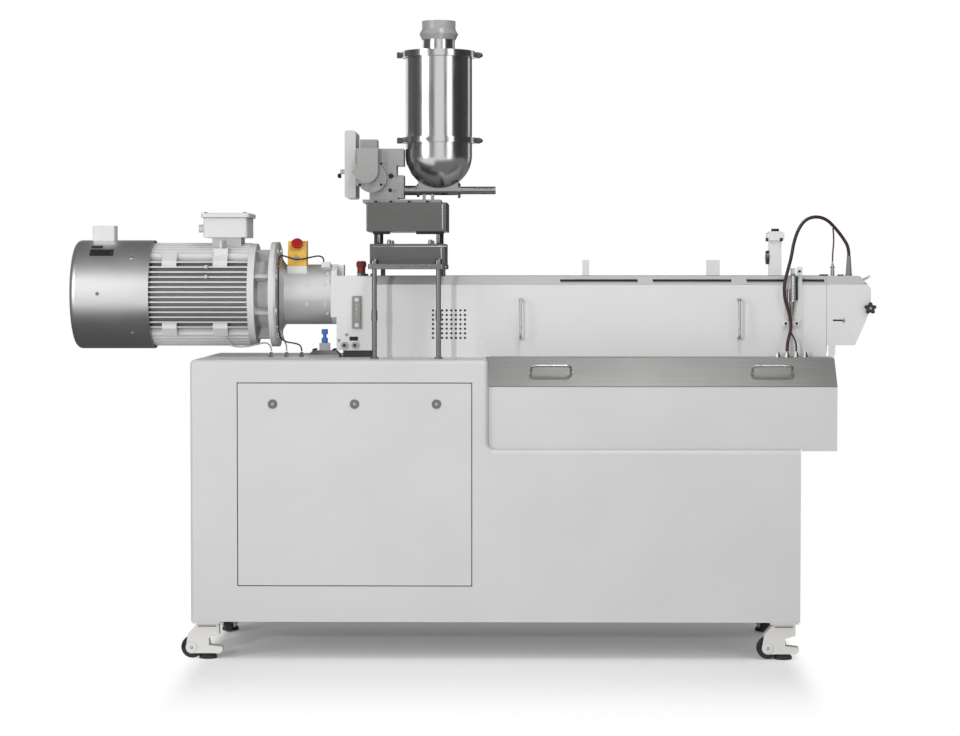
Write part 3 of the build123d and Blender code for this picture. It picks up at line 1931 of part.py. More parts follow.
add("inlet_sleeve", make_inlet_sleeve())
add("screw_tube", make_screw_tube())
add("caster_plates", make_caster_plates())
for place, (caster_x, caster_y, turn) in caster_places().items():
    spot = Pos(caster_x, caster_y, 0) * Rot(0, 0, turn)
    housing, foot = make_caster_housing()
    add(f"caster_housing_{place}", group([spot * housing, spot * foot]))
    add(f"caster_wheel_{place}", spot * make_caster_wheel())

add("probe_cable", cable(probe_cable_points, probe_cable_diameter, "probe_cable"))
add("probe_cable_tail", cable(tail_cable_points, tail_cable_diameter, "probe_cable_tail"))
add("probe_cable_branch", cable(branch_cable_points, branch_cable_diameter, "probe_cable_branch"))
add("stop_cable", cable(stop_cable_points, stop_cable_diameter, "stop_cable"))
add("motor_cable", cable(motor_cable_points, motor_cable_diameter, "motor_cable"))
add("flange_cable", cable(flange_cable_points, flange_cable_diameter, "flange_cable"))

# The frame: floor level, under the middle of the whole machine's box

whole = Compound([solid for shape in nodes.values() for solid in shape.solids()]).bounding_box()
middle_x = (whole.min.X + whole.max.X) / 2
middle_y = (whole.min.Y + whole.max.Y) / 2

os.makedirs("parts", exist_ok=True)
for name, shape in nodes.items():
    placed = Pos(-middle_x, -middle_y, 0) * shape
    export_step(placed, f"parts/{name}.step")
print("frame shift", round(middle_x, 3), round(middle_y, 3))
print("size", whole.size)
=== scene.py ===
import bmesh
import bpy
import math
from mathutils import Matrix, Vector


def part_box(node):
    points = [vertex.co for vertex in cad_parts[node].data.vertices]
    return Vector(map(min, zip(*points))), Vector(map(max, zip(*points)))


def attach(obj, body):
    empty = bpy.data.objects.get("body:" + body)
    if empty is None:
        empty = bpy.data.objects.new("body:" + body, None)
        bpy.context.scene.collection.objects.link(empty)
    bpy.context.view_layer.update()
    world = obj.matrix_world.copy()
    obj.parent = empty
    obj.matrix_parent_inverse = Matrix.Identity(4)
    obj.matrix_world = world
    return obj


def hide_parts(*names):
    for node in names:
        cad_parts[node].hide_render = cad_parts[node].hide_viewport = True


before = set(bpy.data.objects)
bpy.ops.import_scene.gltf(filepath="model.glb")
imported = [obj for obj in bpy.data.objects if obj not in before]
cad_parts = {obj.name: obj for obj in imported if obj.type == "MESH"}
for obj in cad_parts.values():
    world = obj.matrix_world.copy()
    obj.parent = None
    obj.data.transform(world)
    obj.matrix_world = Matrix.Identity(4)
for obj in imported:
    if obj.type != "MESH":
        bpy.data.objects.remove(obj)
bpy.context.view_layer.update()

# Camera
# It stands about eight metres in front, with a long lens, a little above the
# cabinet's top. The machine's drawing is in millimetres, with X = 0 at the
# middle of the cabinet, Y = 0 on its front and Z = 0 on the floor.
mm = 0.001
camera_x = 64
camera_distance = 8130
camera_height = 1240
camera_down = 2.10
camera_left = 0.79
cabinet_low, cabinet_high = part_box("cabinet_body")
drawing_x = (cabinet_low.x + cabinet_high.x) / 2
drawing_y = cabinet_low.y


def at(x, y, z):
    """A point of the machine's drawing in the scene."""
    return Vector((drawing_x + x * mm, drawing_y + y * mm, z * mm))


camera_data = bpy.data.cameras.new("camera")
camera = bpy.data.objects.new("camera", camera_data)
bpy.context.collection.objects.link(camera)
camera.location = at(camera_x, -camera_distance, camera_height)
camera.rotation_euler = (math.radians(90 - camera_down), 0, math.radians(camera_left))
camera_data.lens = 95.25
camera_data.sensor_width = 36
camera_data.clip_end = 60
bpy.context.scene.camera = camera
bpy.context.scene.view_settings.view_transform = "Standard"

# Studio floor
# A pale floor that keeps the soft shadow under the machine and runs out into
# the white surround a step away from it.
floor_size = 60
floor_colour = (0.93, 0.93, 0.93, 1)
shadow_middle = at(0, 375, 0)
shadow_half_length = 0.90
shadow_half_depth = 0.42
shadow_fade = 1.1
side_squeeze = 10.0
shadow_lift = 0.11


class Desk:
    """Short ways to add, feed and reckon with the nodes of one node tree."""

    def __init__(self, tree):
        self.tree = tree

    def add(self, kind, **settings):
        node = self.tree.nodes.new(kind)
        for name, value in settings.items():
            setattr(node, name, value)
        return node

    def feed(self, socket, value):
        """Joins an output to the socket, or sets the socket to a plain value."""
        if isinstance(value, bpy.types.NodeSocket):
            self.tree.links.new(value, socket)
        else:
            socket.default_value = value

    def place(self):
        """The piece's own coordinates."""
        return self.add("ShaderNodeTexCoord").outputs["Object"]

    def math(self, operation, *values):
        node = self.add("ShaderNodeMath", operation=operation)
        for socket, value in zip(node.inputs, values):
            self.feed(socket, value)
        return node.outputs["Value"]

    def axes(self, vector):
        """The outputs X, Y and Z of a vector."""
        node = self.add("ShaderNodeSeparateXYZ")
        self.feed(node.inputs["Vector"], vector)
        return node.outputs

    def length(self, vector):
        node = self.add("ShaderNodeVectorMath", operation="LENGTH")
        self.feed(node.inputs[0], vector)
        return node.outputs["Value"]

    def scaled(self, vector, factor):
        node = self.add("ShaderNodeVectorMath", operation="SCALE")
        self.feed(node.inputs[0], vector)
        self.feed(node.inputs["Scale"], factor)
        return node.outputs["Vector"]

    def remap(self, value, low, high, first, last, curve="LINEAR"):
        """Turns the range low to high into first to last, and holds it beyond."""
        node = self.add("ShaderNodeMapRange", interpolation_type=curve)
        ends = {"From Min": low, "From Max": high, "To Min": first, "To Max": last}
        for name, end in ends.items():
            node.inputs[name].default_value = end
        self.feed(node.inputs["Value"], value)
        return node.outputs["Result"]

    def noise(self, place, scale, detail, roughness=0.5):
        node = self.add("ShaderNodeTexNoise")
        settings = {"Vector": place, "Scale": scale, "Detail": detail, "Roughness": roughness}
        for name, value in settings.items():
            self.feed(node.inputs[name], value)
        return node.outputs["Fac"]

    def seen_rays(self):
        """The share of a ray that an eye follows: straight, mirrored or through glass."""
        rays = self.add("ShaderNodeLightPath").outputs
        mirrored = self.math("MAXIMUM", rays["Is Camera Ray"], rays["Is Glossy Ray"])
        return self.math("MAXIMUM", mirrored, rays["Is Transmission Ray"])

    def mix_to(self, output, share, first, second):
        """Ends the tree in a mix of two shaders."""
        both = self.add("ShaderNodeMixShader")
        self.feed(both.inputs["Fac"], share)
        self.feed(both.inputs[1], first)
        self.feed(both.inputs[2], second)
        self.feed(self.add(output).inputs["Surface"], both.outputs["Shader"])


def cleared(owner):
    """An empty desk on the node tree of a material or world."""
    owner.use_nodes = True
    owner.node_tree.nodes.clear()
    return Desk(owner.node_tree)


bpy.ops.mesh.primitive_plane_add(size=floor_size, location=shadow_middle)
floor = bpy.context.object
floor.name = "studio_floor"
floor_material = bpy.data.materials.new("studio_floor")
desk = cleared(floor_material)
sides = desk.axes(desk.place())
beyond = desk.add("ShaderNodeCombineXYZ")
for axis, half, squeeze in (("X", shadow_half_length, side_squeeze), ("Y", shadow_half_depth, 1.0)):
    over = desk.math("SUBTRACT", desk.math("ABSOLUTE", sides[axis]), half)
    desk.feed(beyond.inputs[axis], desk.math("MULTIPLY", desk.math("MAXIMUM", over, 0), squeeze))
fade = desk.remap(desk.length(beyond.outputs["Vector"]), 0, shadow_fade, 0, 1, "SMOOTHSTEP")
faded = desk.math("MULTIPLY", fade, desk.seen_rays())
camera_rays = desk.add("ShaderNodeLightPath").outputs["Is Camera Ray"]
lifted = desk.math("MULTIPLY", camera_rays, shadow_lift)
matt = desk.add("ShaderNodeBsdfDiffuse")
desk.feed(matt.inputs["Color"], floor_colour)
white = desk.add("ShaderNodeEmission").outputs["Emission"]
share = desk.math("MAXIMUM", faded, lifted)
desk.mix_to("ShaderNodeOutputMaterial", share, matt.outputs["BSDF"], white)
floor.data.materials.append(floor_material)

# Studio surround and lamps
# The surround is white where it is seen or mirrored and gives a soft even
# light. Two tall soft boxes stand in front, a wide one hangs overhead and a
# small lamp left of the camera throws the soft shadows of rods and handles.
room_light = 0.20
world = bpy.data.worlds.new("studio")
bpy.context.scene.world = world
desk = cleared(world)
shaders = []
for strength in (room_light, 1):
    glow = desk.add("ShaderNodeBackground")
    glow.inputs["Color"].default_value = (1, 1, 1, 1)
    glow.inputs["Strength"].default_value = strength
    shaders.append(glow.outputs["Background"])
desk.mix_to("ShaderNodeOutputWorld", desk.seen_rays(), *shaders)
for name, spot, aim, size, power, mirrored in (
    ("soft_box_left", at(-3900, -3300, 2600), at(-200, 375, 1150), (1.7, 3.4), 92, True),
    ("soft_box_right", at(3200, -3800, 2100), at(-190, 375, 1150), (1.7, 3.2), 33, True),
    ("soft_box_top", at(620, -1500, 4300), at(620, 375, 950), (0.7, 2.2), 58, True),
    ("small_lamp", at(-2000, -6000, 1500), at(-250, 375, 1000), (0.16, 0.16), 125, False),
):
    lamp_data = bpy.data.lights.new(name, "AREA")
    lamp_data.shape = "RECTANGLE"
    lamp_data.size, lamp_data.size_y = size
    lamp_data.energy = power
    lamp = bpy.data.objects.new(name, lamp_data)
    lamp.visible_glossy = mirrored
    bpy.context.collection.objects.link(lamp)
    lamp.location = spot
    lamp.rotation_euler = (aim - spot).to_track_quat("-Z", "Y").to_euler()

# Studio flags
# Dark cloth flags stand round the set, overhead and low in front. Only bright
# metal mirrors them, which gives it its dark bands between the soft boxes.
flag_radius = 10.5
flag_height = 9.0
flag_foot = 0.02
ceiling_height = 5.2
low_flag_height = 0.03


def hang_flag(name, corners, grey_level):
    """A flat flag between four corners, mirrored by metal and nothing else."""
    mesh = bpy.data.meshes.new(name)
    mesh.from_pydata(corners, [], [(0, 1, 2, 3)])
    flag = bpy.data.objects.new(name, mesh)
    bpy.context.collection.objects.link(flag)
    cloth = bpy.data.materials.new(name)
    desk = cleared(cloth)
    glow = desk.add("ShaderNodeEmission")
    glow.inputs["Color"].default_value = (grey_level, grey_level, grey_level, 1)
    desk.feed(desk.add("ShaderNodeOutputMaterial").inputs["Surface"], glow.outputs["Emission"])
    mesh.materials.append(cloth)
    for rays in ("camera", "diffuse", "transmission", "shadow", "volume_scatter"):
        setattr(flag, "visible_" + rays, False)


for name, start, end, grey_level in (
    ("flag_far_left", -132, -96, 0.14),
    ("flag_left", -96, -48, 0.10),
    ("flag_mid_left", -48, -14, 0.24),
    ("flag_mid_right", 20, 40, 0.14),
    ("flag_right", 40, 90, 0.05),
    ("flag_far_right", 90, 126, 0.07),
    ("flag_behind", 138, 178.5, 0.08),
):
    (x0, y0), (x1, y1) = (
        (flag_radius * math.sin(math.radians(angle)), -flag_radius * math.cos(math.radians(angle)))
        for angle in (start, end)
    )
    feet = [(x0, y0, flag_foot), (x1, y1, flag_foot)]
    hang_flag(name, feet + [(x1, y1, flag_height), (x0, y0, flag_height)], grey_level)
for name, x0, x1, y0, y1, z, grey_level in (
    ("flag_ceiling_left", -12, 0.35, -5.2, 12, ceiling_height, 0.12),
    ("flag_ceiling_middle", 0.35, 1.0, -5.2, 12, ceiling_height, 0.34),
    ("flag_ceiling_right", 1.0, 12, -5.2, 12, ceiling_height, 0.12),
    ("flag_floor_left", -9, -0.9, -2.1, 9, low_flag_height, 0.07),
    ("flag_floor_right", -0.9, 9, -4.5, 9, low_flag_height, 0.22),
):
    hang_flag(name, [(x0, y0, z), (x1, y0, z), (x1, y1, z), (x0, y1, z)], grey_level)

# Cabinet
# A welded sheet cabinet, folded along its top edges and powder coated in a
# satin light grey, with one door panel let into its front.
cabinet_grey = 0.58
noise_low = 0.3
noise_high = 0.7
mottle_scale = 3.5
peel_strength = 0.35


def grey(level):
    """A colour without a hue."""
    return (level, level, level)


def principled(name, metallic):
    """A new material with the desk on its nodes and its shader's inputs."""
    material = bpy.data.materials.new(name)
    material.use_nodes = True
    inputs = material.node_tree.nodes["Principled BSDF"].inputs
    inputs["Metallic"].default_value = metallic
    return material, Desk(material.node_tree), inputs


def bumped(desk, inputs, height, strength, distance):
    """Gives the surface a fine relief from a pattern."""
    bump = desk.add("ShaderNodeBump")
    bump.inputs["Strength"].default_value = strength
    bump.inputs["Distance"].default_value = distance
    desk.feed(bump.inputs["Height"], height)
    desk.feed(inputs["Normal"], bump.outputs["Normal"])


def enamel(name, colour, roughness, peel=450.0, peel_height=0.00012, mottle=0.05, metallic=0.0):
    """A painted or moulded finish: faint mottle, fine orange peel, uneven gloss."""
    material, desk, inputs = principled(name, metallic)
    place = desk.place()
    wide = desk.noise(place, mottle_scale, 4)
    fine = desk.noise(place, peel, 3)
    tone = desk.remap(wide, noise_low, noise_high, 1 - mottle, 1)
    speck = desk.remap(fine, 0.35, 0.65, 1 - mottle / 2, 1)
    desk.feed(inputs["Base Color"], desk.scaled(colour, desk.math("MULTIPLY", tone, speck)))
    gloss = desk.remap(wide, noise_low, noise_high, roughness - 0.04, roughness + 0.05)
    desk.feed(inputs["Roughness"], gloss)
    bumped(desk, inputs, fine, peel_strength, peel_height)
    return material


def dress(material, *nodes):
    """Gives the finish to nodes of the frame as they are."""
    for node in nodes:
        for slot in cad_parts[node].material_slots:
            slot.material = material


dress(enamel("cabinet_powder_coat", grey(cabinet_grey), 0.42), "cabinet_body", "cabinet_door", "duct_body")

# Door
# A flat steel panel in a narrow even gap; a black strip lies in the gap all
# round it and makes the gap's line dark.
door_gap = 3.0
gap_strip_lap = 0.2
gap_strip_front_y = 0.8
gap_strip_back_y = 6


def in_drawing(node):
    """The two corners of a node's box in the drawing."""
    low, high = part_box(node)
    origin = at(0, 0, 0)
    return (low - origin) / mm, (high - origin) / mm


def block(low, high, edge):
    """A squared piece between two corners of the drawing, its edges broken."""
    corner = at(*low)
    other = at(*high)
    bpy.ops.mesh.primitive_cube_add(size=1, location=(corner + other) / 2)
    piece = bpy.context.object
    piece.scale = other - corner
    bpy.ops.object.transform_apply(location=False, rotation=False, scale=True)
    bpy.ops.object.mode_set(mode="EDIT")
    bpy.ops.mesh.select_all(action="SELECT")
    bpy.ops.mesh.bevel(offset=edge * mm, segments=2, affect="EDGES")
    bpy.ops.object.mode_set(mode="OBJECT")
    return piece


def finish(name, pieces, material, body="machine"):
    """Joins the pieces into one, fixes its place in its mesh and lets it ride."""
    bpy.ops.object.select_all(action="DESELECT")
    for piece in pieces:
        piece.select_set(True)
    bpy.context.view_layer.objects.active = pieces[0]
    if len(pieces) > 1:
        bpy.ops.object.join()
    whole = bpy.context.view_layer.objects.active
    whole.name = name
    whole.data.name = name
    bpy.ops.object.transform_apply(location=True, rotation=True, scale=True)
    bpy.ops.object.shade_smooth_by_angle(angle=math.radians(35))
    whole.data.materials.clear()
    whole.data.materials.append(material)
    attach(whole, body)
    return whole


# Black strips fill the door gap all round and darken its line.
gap_strip_black = enamel("door_gap_strip_black", grey(0.015), 0.6)
door_low, door_high = in_drawing("cabinet_door")
gap_strips = []
for x in (door_low.x - door_gap, door_high.x):
    low = (x - gap_strip_lap, gap_strip_front_y, door_low.z - door_gap)
    high = (x + door_gap + gap_strip_lap, gap_strip_back_y, door_high.z + door_gap)
    gap_strips.append(block(low, high, 0.2))
for z in (door_low.z - door_gap, door_high.z):
    low = (door_low.x, gap_strip_front_y, z - gap_strip_lap)
    high = (door_high.x, gap_strip_back_y, z + door_gap + gap_strip_lap)
    gap_strips.append(block(low, high, 0.2))
finish("door_gap_strip", gap_strips, gap_strip_black)

# Door locks
# Three quarter-turn locks of dark machined steel in the door's upper edge,
# each a round rosette with a sunk well and a three-sided key post in it.
lock_middle_x = -451
lock_pitch = 263
lock_z = 826
lock_well_y = -1.5
key_post_radius = 6.4
to_front = (0, -1, 0)


def brushed(name, colour, roughness, grain, depth=0.00008, contrast=0.16):
    """Bare metal: fine scratches that run along the axis with the small scale."""
    material, desk, inputs = principled(name, 1.0)
    place = desk.place()
    stretch = desk.add("ShaderNodeMapping")
    stretch.inputs["Scale"].default_value = grain
    desk.feed(stretch.inputs["Vector"], place)
    scratch = desk.noise(stretch.outputs["Vector"], 1.0, 6, 0.6)
    cloud = desk.noise(place, 5.0, 3)
    tone = desk.remap(scratch, noise_low, noise_high, 1 - contrast, 1)
    desk.feed(inputs["Base Color"], desk.scaled(colour, tone))
    smoothest = max(roughness - 0.05, 0.02)
    desk.feed(inputs["Roughness"], desk.remap(cloud, noise_low, noise_high, smoothest, roughness + 0.07))
    bumped(desk, inputs, scratch, 0.4, depth)
    return material


def select_faces(wanted):
    """In edit mode, selects the faces whose normal passes a test."""
    bpy.ops.mesh.select_all(action="DESELECT")
    mesh = bpy.context.object.data
    shape = bmesh.from_edit_mesh(mesh)
    for face in shape.faces:
        if wanted(face.normal):
            face.select_set(True)
    bmesh.update_edit_mesh(mesh)


def boss(place, facing, radius, height, *steps, sides=24, edge=0.0):
    """A round or many-sided piece that stands on a face, its end stepped as on a lathe.

    Each step is how far the end is drawn in and how far it is then pushed out.
    """
    bpy.ops.mesh.primitive_cylinder_add(
        vertices=sides, radius=radius * mm, depth=height * mm, location=(0, 0, height * mm / 2)
    )
    piece = bpy.context.object
    bpy.ops.object.transform_apply(location=True, rotation=True, scale=True)
    bpy.ops.object.mode_set(mode="EDIT")
    bpy.ops.mesh.select_mode(type="FACE")
    select_faces(lambda normal: normal.z > 0.9)
    if edge:
        bpy.ops.mesh.inset(thickness=edge * mm)
        bpy.ops.transform.translate(value=(0, 0, edge * mm))
    for inward, outward in steps:
        bpy.ops.mesh.inset(thickness=inward * mm)
        bpy.ops.mesh.extrude_region_move(TRANSFORM_OT_translate={"value": (0, 0, outward * mm)})
    bpy.ops.object.mode_set(mode="OBJECT")
    piece.rotation_euler = Vector(facing).to_track_quat("Z", "Y").to_euler()
    piece.location = at(*place)
    return piece


def bosses(name, places, material, slot, *shape, **finer):
    """Like bosses at some places, each with its own mesh, joined into one piece."""
    return finish(name, [boss(place, *shape, **finer) for place in places], material)


dress(brushed("lock_dark_steel", grey(0.26), 0.30, (260, 260, 260), contrast=0.2), "door_locks")
key_steel = brushed("lock_key_steel", grey(0.62), 0.25, (200, 200, 200))
key_places = [(lock_middle_x + lock_pitch * step, lock_well_y, lock_z) for step in (-1, 0, 1)]
bosses(
    "lock_key_posts", key_places, key_steel, "machined",
    to_front, key_post_radius, 1.2, (0.8, 0.8), (2.0, -1.0), sides=3,
)

# Casters
# Four levelling casters in cream-white enamel: a cranked cast housing on a
# swivel plate, a black nylon wheel and a black rubber foot that screws down.
caster_white = (0.70, 0.69, 0.66)
foot_x = 930
foot_front_y = 50
foot_rear_y = 700
foot_bottom_z = 0.4
axle_height = 37
housing_half = 22
cap_height = 2
groove_half = 29.5
groove_z = 106
groove_half_height = 1.5
groove_proud = 0.6
upward = (0, 0, 1)
caster_coat = enamel("caster_enamel", caster_white, 0.45)
wheel_nylon = enamel("caster_wheel_nylon", (0.018, 0.018, 0.019), 0.42, peel=700.0)
foot_rubber = enamel("caster_foot_rubber", grey(0.022), 0.6, peel=500.0)
dress(caster_coat, "caster_plates")
for corner, x, y, along in (
    ("front_left", -foot_x, foot_front_y, Vector((0, 1, 0))),
    ("front_right", foot_x, foot_front_y, Vector((0, 1, 0))),
    ("rear_left", -foot_x, foot_rear_y, Vector((1, 0, 0))),
    ("rear_right", foot_x, foot_rear_y, Vector((1, 0, 0))),
):
    dress(caster_coat, f"caster_housing_{corner}")
    dress(wheel_nylon, f"caster_wheel_{corner}")
    swivel = f"swivel_{corner}"
    pad = boss((x, y, foot_bottom_z), upward, 28.8, 9, (2.5, 4.0), (6.0, 3.0), sides=40, edge=1.2)
    finish(f"caster_foot_{corner}", [pad], foot_rubber, swivel)
    wheel_low, wheel_high = in_drawing(f"caster_wheel_{corner}")
    axle = (wheel_low + wheel_high) / 2
    axle.z = axle_height
    caps = []
    screws = []
    for side in (-1, 1):
        face = axle + side * housing_half * along
        caps.append(boss(face, side * along, 17, cap_height, (2.0, 0.8), sides=32, edge=0.8))
        end = face + side * cap_height * along
        screws.append(boss(end, side * along, 4.6, 2.0, (1.6, -1.2), sides=16))
    finish(f"caster_axle_caps_{corner}", caps, caster_coat, swivel)
    finish(f"caster_axle_screws_{corner}", screws, foot_rubber, swivel)
    reach = groove_half * Vector((along.y, along.x, 0)) + (housing_half + groove_proud) * along
    reach.z = groove_half_height
    middle = Vector((x, y, groove_z))
    groove = block(middle - reach, middle + reach, 0.5)
    finish(f"caster_swivel_groove_{corner}", [groove], foot_rubber, swivel)

# Cable duct
# A folded duct on the low part of the cabinet, coated as the cabinet is, with
# a lid of brushed stainless sheet; the bow handles are of satin steel.
dress(brushed("lid_brushed_stainless", (0.31, 0.308, 0.30), 0.40, (5, 700, 700), 0.00004, 0.2), "duct_lid")
dress(brushed("handle_satin_steel", grey(0.58), 0.24, (120, 120, 120), 0.00001, 0.1), "bow_handles")

# Process hood
# A folded sheet hood over the barrel in a pale metallic paint, with painted shade
# on its upward faces; black and grey strips paint the shade in the slots of its
# chamfer, along its two folds and behind its field of vent holes.
hood_left = -400
hood_right = 1091
hood_front_y = 260
hood_top_y = 294
hood_top_z = 1237
chamfer_low_z = 1209
slot_z = 1223
slot_shade_y = 290
ledge_z = 1217.3
slots = ((213, 469), (519, 778), (828, 954), (1010, 1085))
top_shade_darkest = 0.80


def darken(material, tone):
    """Scales the material's base colour by a tone."""
    base = material.node_tree.nodes["Principled BSDF"].inputs["Base Color"]
    desk = Desk(material.node_tree)
    desk.feed(base, desk.scaled(base.links[0].from_socket, tone))
    return material


def with_painted_top_shade(material):
    """Paints shade into the paint's colour where its face looks up, so that chamfers and tops come out
    darker.
    """
    desk = Desk(material.node_tree)
    up = desk.axes(desk.add("ShaderNodeNewGeometry").outputs["Normal"])["Z"]
    return darken(material, desk.remap(up, 0.2, 0.7, 1, top_shade_darkest))


# Painted shade: this coat is darker on faces that look up, such as the hood's chamfer.
hood_coat = with_painted_top_shade(enamel("hood_coat", grey(0.665), 0.24, mottle=0.03))
dress(hood_coat, "process_hood", "discharge_hood", "wiring_panel")
# A black for the real black parts and for the dark strips that paint shade.
black_parts_and_shade = enamel("hood_black_parts_and_shade", grey(0.012), 0.6)
slot_shade_grey = enamel("hood_slot_shade_grey", grey(0.14), 0.5)
fold_shade_grey = enamel("hood_fold_shade_grey", grey(0.42), 0.5)
# Painted shade in the chamfer's slots: a black strip behind each slot and a dark grey strip along its lower
# edge.
slot_shades = [
    block((left - 4, slot_shade_y, slot_z - 18), (right + 4, slot_shade_y + 2, slot_z + 6), 0.4)
    for left, right in slots
]
finish("hood_slot_shades", slot_shades, black_parts_and_shade)
chamfer_slope = math.atan2(hood_top_z - chamfer_low_z, hood_top_y - hood_front_y)
slot_shade_ledges = []
for left, right in slots:
    ledge = block((left, 266.5, ledge_z - 0.7), (right, 273.7, ledge_z + 0.7), 0.4)
    ledge.rotation_euler.x = chamfer_slope
    slot_shade_ledges.append(ledge)
finish("hood_slot_shade_ledges", slot_shade_ledges, slot_shade_grey)
# Painted shade: a mid grey strip along the fold under the chamfer.
fold_low = (hood_left + 1, hood_front_y - 0.4, chamfer_low_z - 1.6)
fold_high = (hood_right - 1, hood_front_y + 1.4, chamfer_low_z + 0.2)
finish("hood_fold_shade_line", [block(fold_low, fold_high, 0.3)], fold_shade_grey)
# Painted shade: a black sheet behind the vent holes.
vent_shade = block((-232, hood_front_y + 3.2, 1022), (-92, hood_front_y + 6.2, 1134), 0.5)
finish("hood_vent_shade", [vent_shade], black_parts_and_shade)
# Painted shade: a black strip along the fold at the chamfer's top.
top_fold_shade_low = (hood_left + 2, hood_top_y - 0.4, hood_top_z - 1)
top_fold_shade_high = (hood_right - 2, hood_top_y + 2.8, hood_top_z + 1.1)
finish("hood_top_fold_shade", [block(top_fold_shade_low, top_fold_shade_high, 0.4)], black_parts_and_shade)

# Barrel and die head
# Ten square barrel blocks bolted end to end with a die head at the right,
# of machined steel darkened a little by heat, hidden under the hoods.
barrel_steel = brushed("barrel_machined_steel", (0.34, 0.33, 0.32), 0.38, (60, 60, 60), contrast=0.15)
dress(barrel_steel, "barrel", "die_head")

# Gearbox
# A cast gearbox housing in light grey enamel on a dark base, with two drain
# plugs, a small black window and the screws of its cover.
gearbox_front_y = 275
socket_pixels = ((346.4, 334.7), (338.6, 340.4))
window_pixels = ((349.4, 340.8), (357.8, 336.8))
drain_z = 1007
drain_columns_x = (-501, -466)
cap_left_x = -437
cap_pitch = 26
focal_pixels = 2540
level_row = 275
straight_column = 515


def seen(column, row, y):
    """The drawing point at depth y that the photograph shows at a pixel."""
    spread = (camera_distance + y) / focal_pixels
    return (camera_x + (column - straight_column) * spread, y, camera_height - (row - level_row) * spread)


dress(enamel("gearbox_enamel", grey(0.68), 0.36, 240.0, 0.0003), "gearbox_housing")
dress(enamel("gearbox_base_enamel", (0.035, 0.035, 0.038), 0.5), "gearbox_base")
screw_steel = brushed("screw_zinc_steel", grey(0.45), 0.3, (150, 150, 150))
black_steel = brushed("black_oxide_steel", (0.05, 0.05, 0.052), 0.35, (150, 150, 150))
socket_places = [seen(*pixel, gearbox_front_y) for pixel in socket_pixels]
bosses(
    "gearbox_socket_screws", socket_places, screw_steel, "machined",
    to_front, 5.0, 3.5, (2.2, -2.4), edge=0.5,
)
drain_places = [(x, gearbox_front_y - 5, drain_z) for x in drain_columns_x]
bosses("drain_plug_rims", drain_places, screw_steel, "machined", to_front, 11.5, 3, (1.4, 1.2), (4.2, -2.2))
core_places = [(x, y - 3.6, z) for x, y, z in drain_places]
bosses("drain_plug_hexes", core_places, black_steel, "dark_steel", to_front, 5.2, 2.6, (1.0, 0.6), sides=6)
(x0, _, z0), (x1, _, z1) = (seen(*pixel, gearbox_front_y) for pixel in window_pixels)
vent_window = block((x0, gearbox_front_y - 2.4, z0), (x1, gearbox_front_y + 1.2, z1), 0.8)
finish("gearbox_black_window", [vent_window], black_parts_and_shade)
cap_places = [(cap_left_x + cap_pitch * step, y, hood_top_z) for y in (300, 450) for step in (0, 1)]
bosses("gearbox_cap_screws", cap_places, black_steel, "dark_steel", upward, 5.5, 6, (2.4, -3.0), edge=0.6)

# Oil level glass
# A glass tube behind a slotted metal frame on the gearbox's front, held by
# two chrome screws, with three painted level marks at its left edge.
sight_x = -460
sight_low_z = 1062
sight_high_z = 1170
sight_face_y = 266
glass_end = 24
screw_inset = 12
mark_heights = (1100, 1118, 1136)
dress(brushed("level_glass_frame", grey(0.34), 0.28, (90, 90, 8)), "sight_glass")
glass_oil = enamel("level_glass_oil", (0.34, 0.38, 0.30), 0.08, mottle=0.1)
oil_strip = block(
    (sight_x - 4.2, sight_face_y - 1.2, sight_low_z + glass_end),
    (sight_x + 4.2, sight_face_y + 1, sight_high_z - glass_end),
    1.0,
)
finish("level_glass_strip", [oil_strip], glass_oil)
level_marks = [
    block((sight_x - 6.4, sight_face_y - 1.8, z - 0.8), (sight_x - 1.4, sight_face_y - 1, z + 0.8), 0.3)
    for z in mark_heights
]
finish("level_glass_marks", level_marks, wheel_nylon)
bright_steel = brushed("screw_bright_chrome", grey(0.66), 0.12, (200, 200, 200), 0.00001, 0.06)
screw_places = [(sight_x, sight_face_y, z) for z in (sight_low_z + screw_inset, sight_high_z - screw_inset)]
bosses(
    "level_glass_screws", screw_places, bright_steel, "polished",
    to_front, 7.0, 2.4, (1.2, 1.4), (2.4, -1.6),
)

# Breather
# A dark red fluted plastic cap on a grey hexagon nipple, screwed into the
# gearbox's top so that the warm oil can breathe.
breather_x = -448
breather_y = 330
flute_circle = 14.6
flute_count = 16
flute_bottom_z = 1267
breather_plastic = enamel("breather_dark_red", (0.17, 0.012, 0.014), 0.35, mottle=0.1)
dress(breather_plastic, "breather_cap")
nipple_place = (breather_x, breather_y, hood_top_z)
bosses(
    "breather_nipple", [nipple_place], screw_steel, "machined", upward, 16, 9, (2.5, 3.0), sides=6, edge=0.8
)
flute_places = []
for step in range(flute_count):
    turn = 2 * math.pi * step / flute_count
    x = breather_x + flute_circle * math.cos(turn)
    flute_places.append((x, breather_y + flute_circle * math.sin(turn), flute_bottom_z))
bosses("breather_flutes", flute_places, breather_plastic, "dark_red", upward, 2.3, 13, sides=10, edge=0.7)

# Oil sensors
# Two blue plugged sensor bodies on a chamfered steel block that is bolted to
# the cabinet's top beside the gearbox.
dress(brushed("sensor_block_steel", grey(0.48), 0.3, (80, 80, 80)), "sensor_block")
dress(enamel("sensor_blue", (0.035, 0.14, 0.42), 0.35), "level_sensors")
pad_places = [(x, y, 990) for x in (-601, -535) for y in (263, 337)]
bosses("sensor_block_screws", pad_places, black_steel, "dark_steel", upward, 5.5, 5, (2.2, -2.6), edge=0.6)

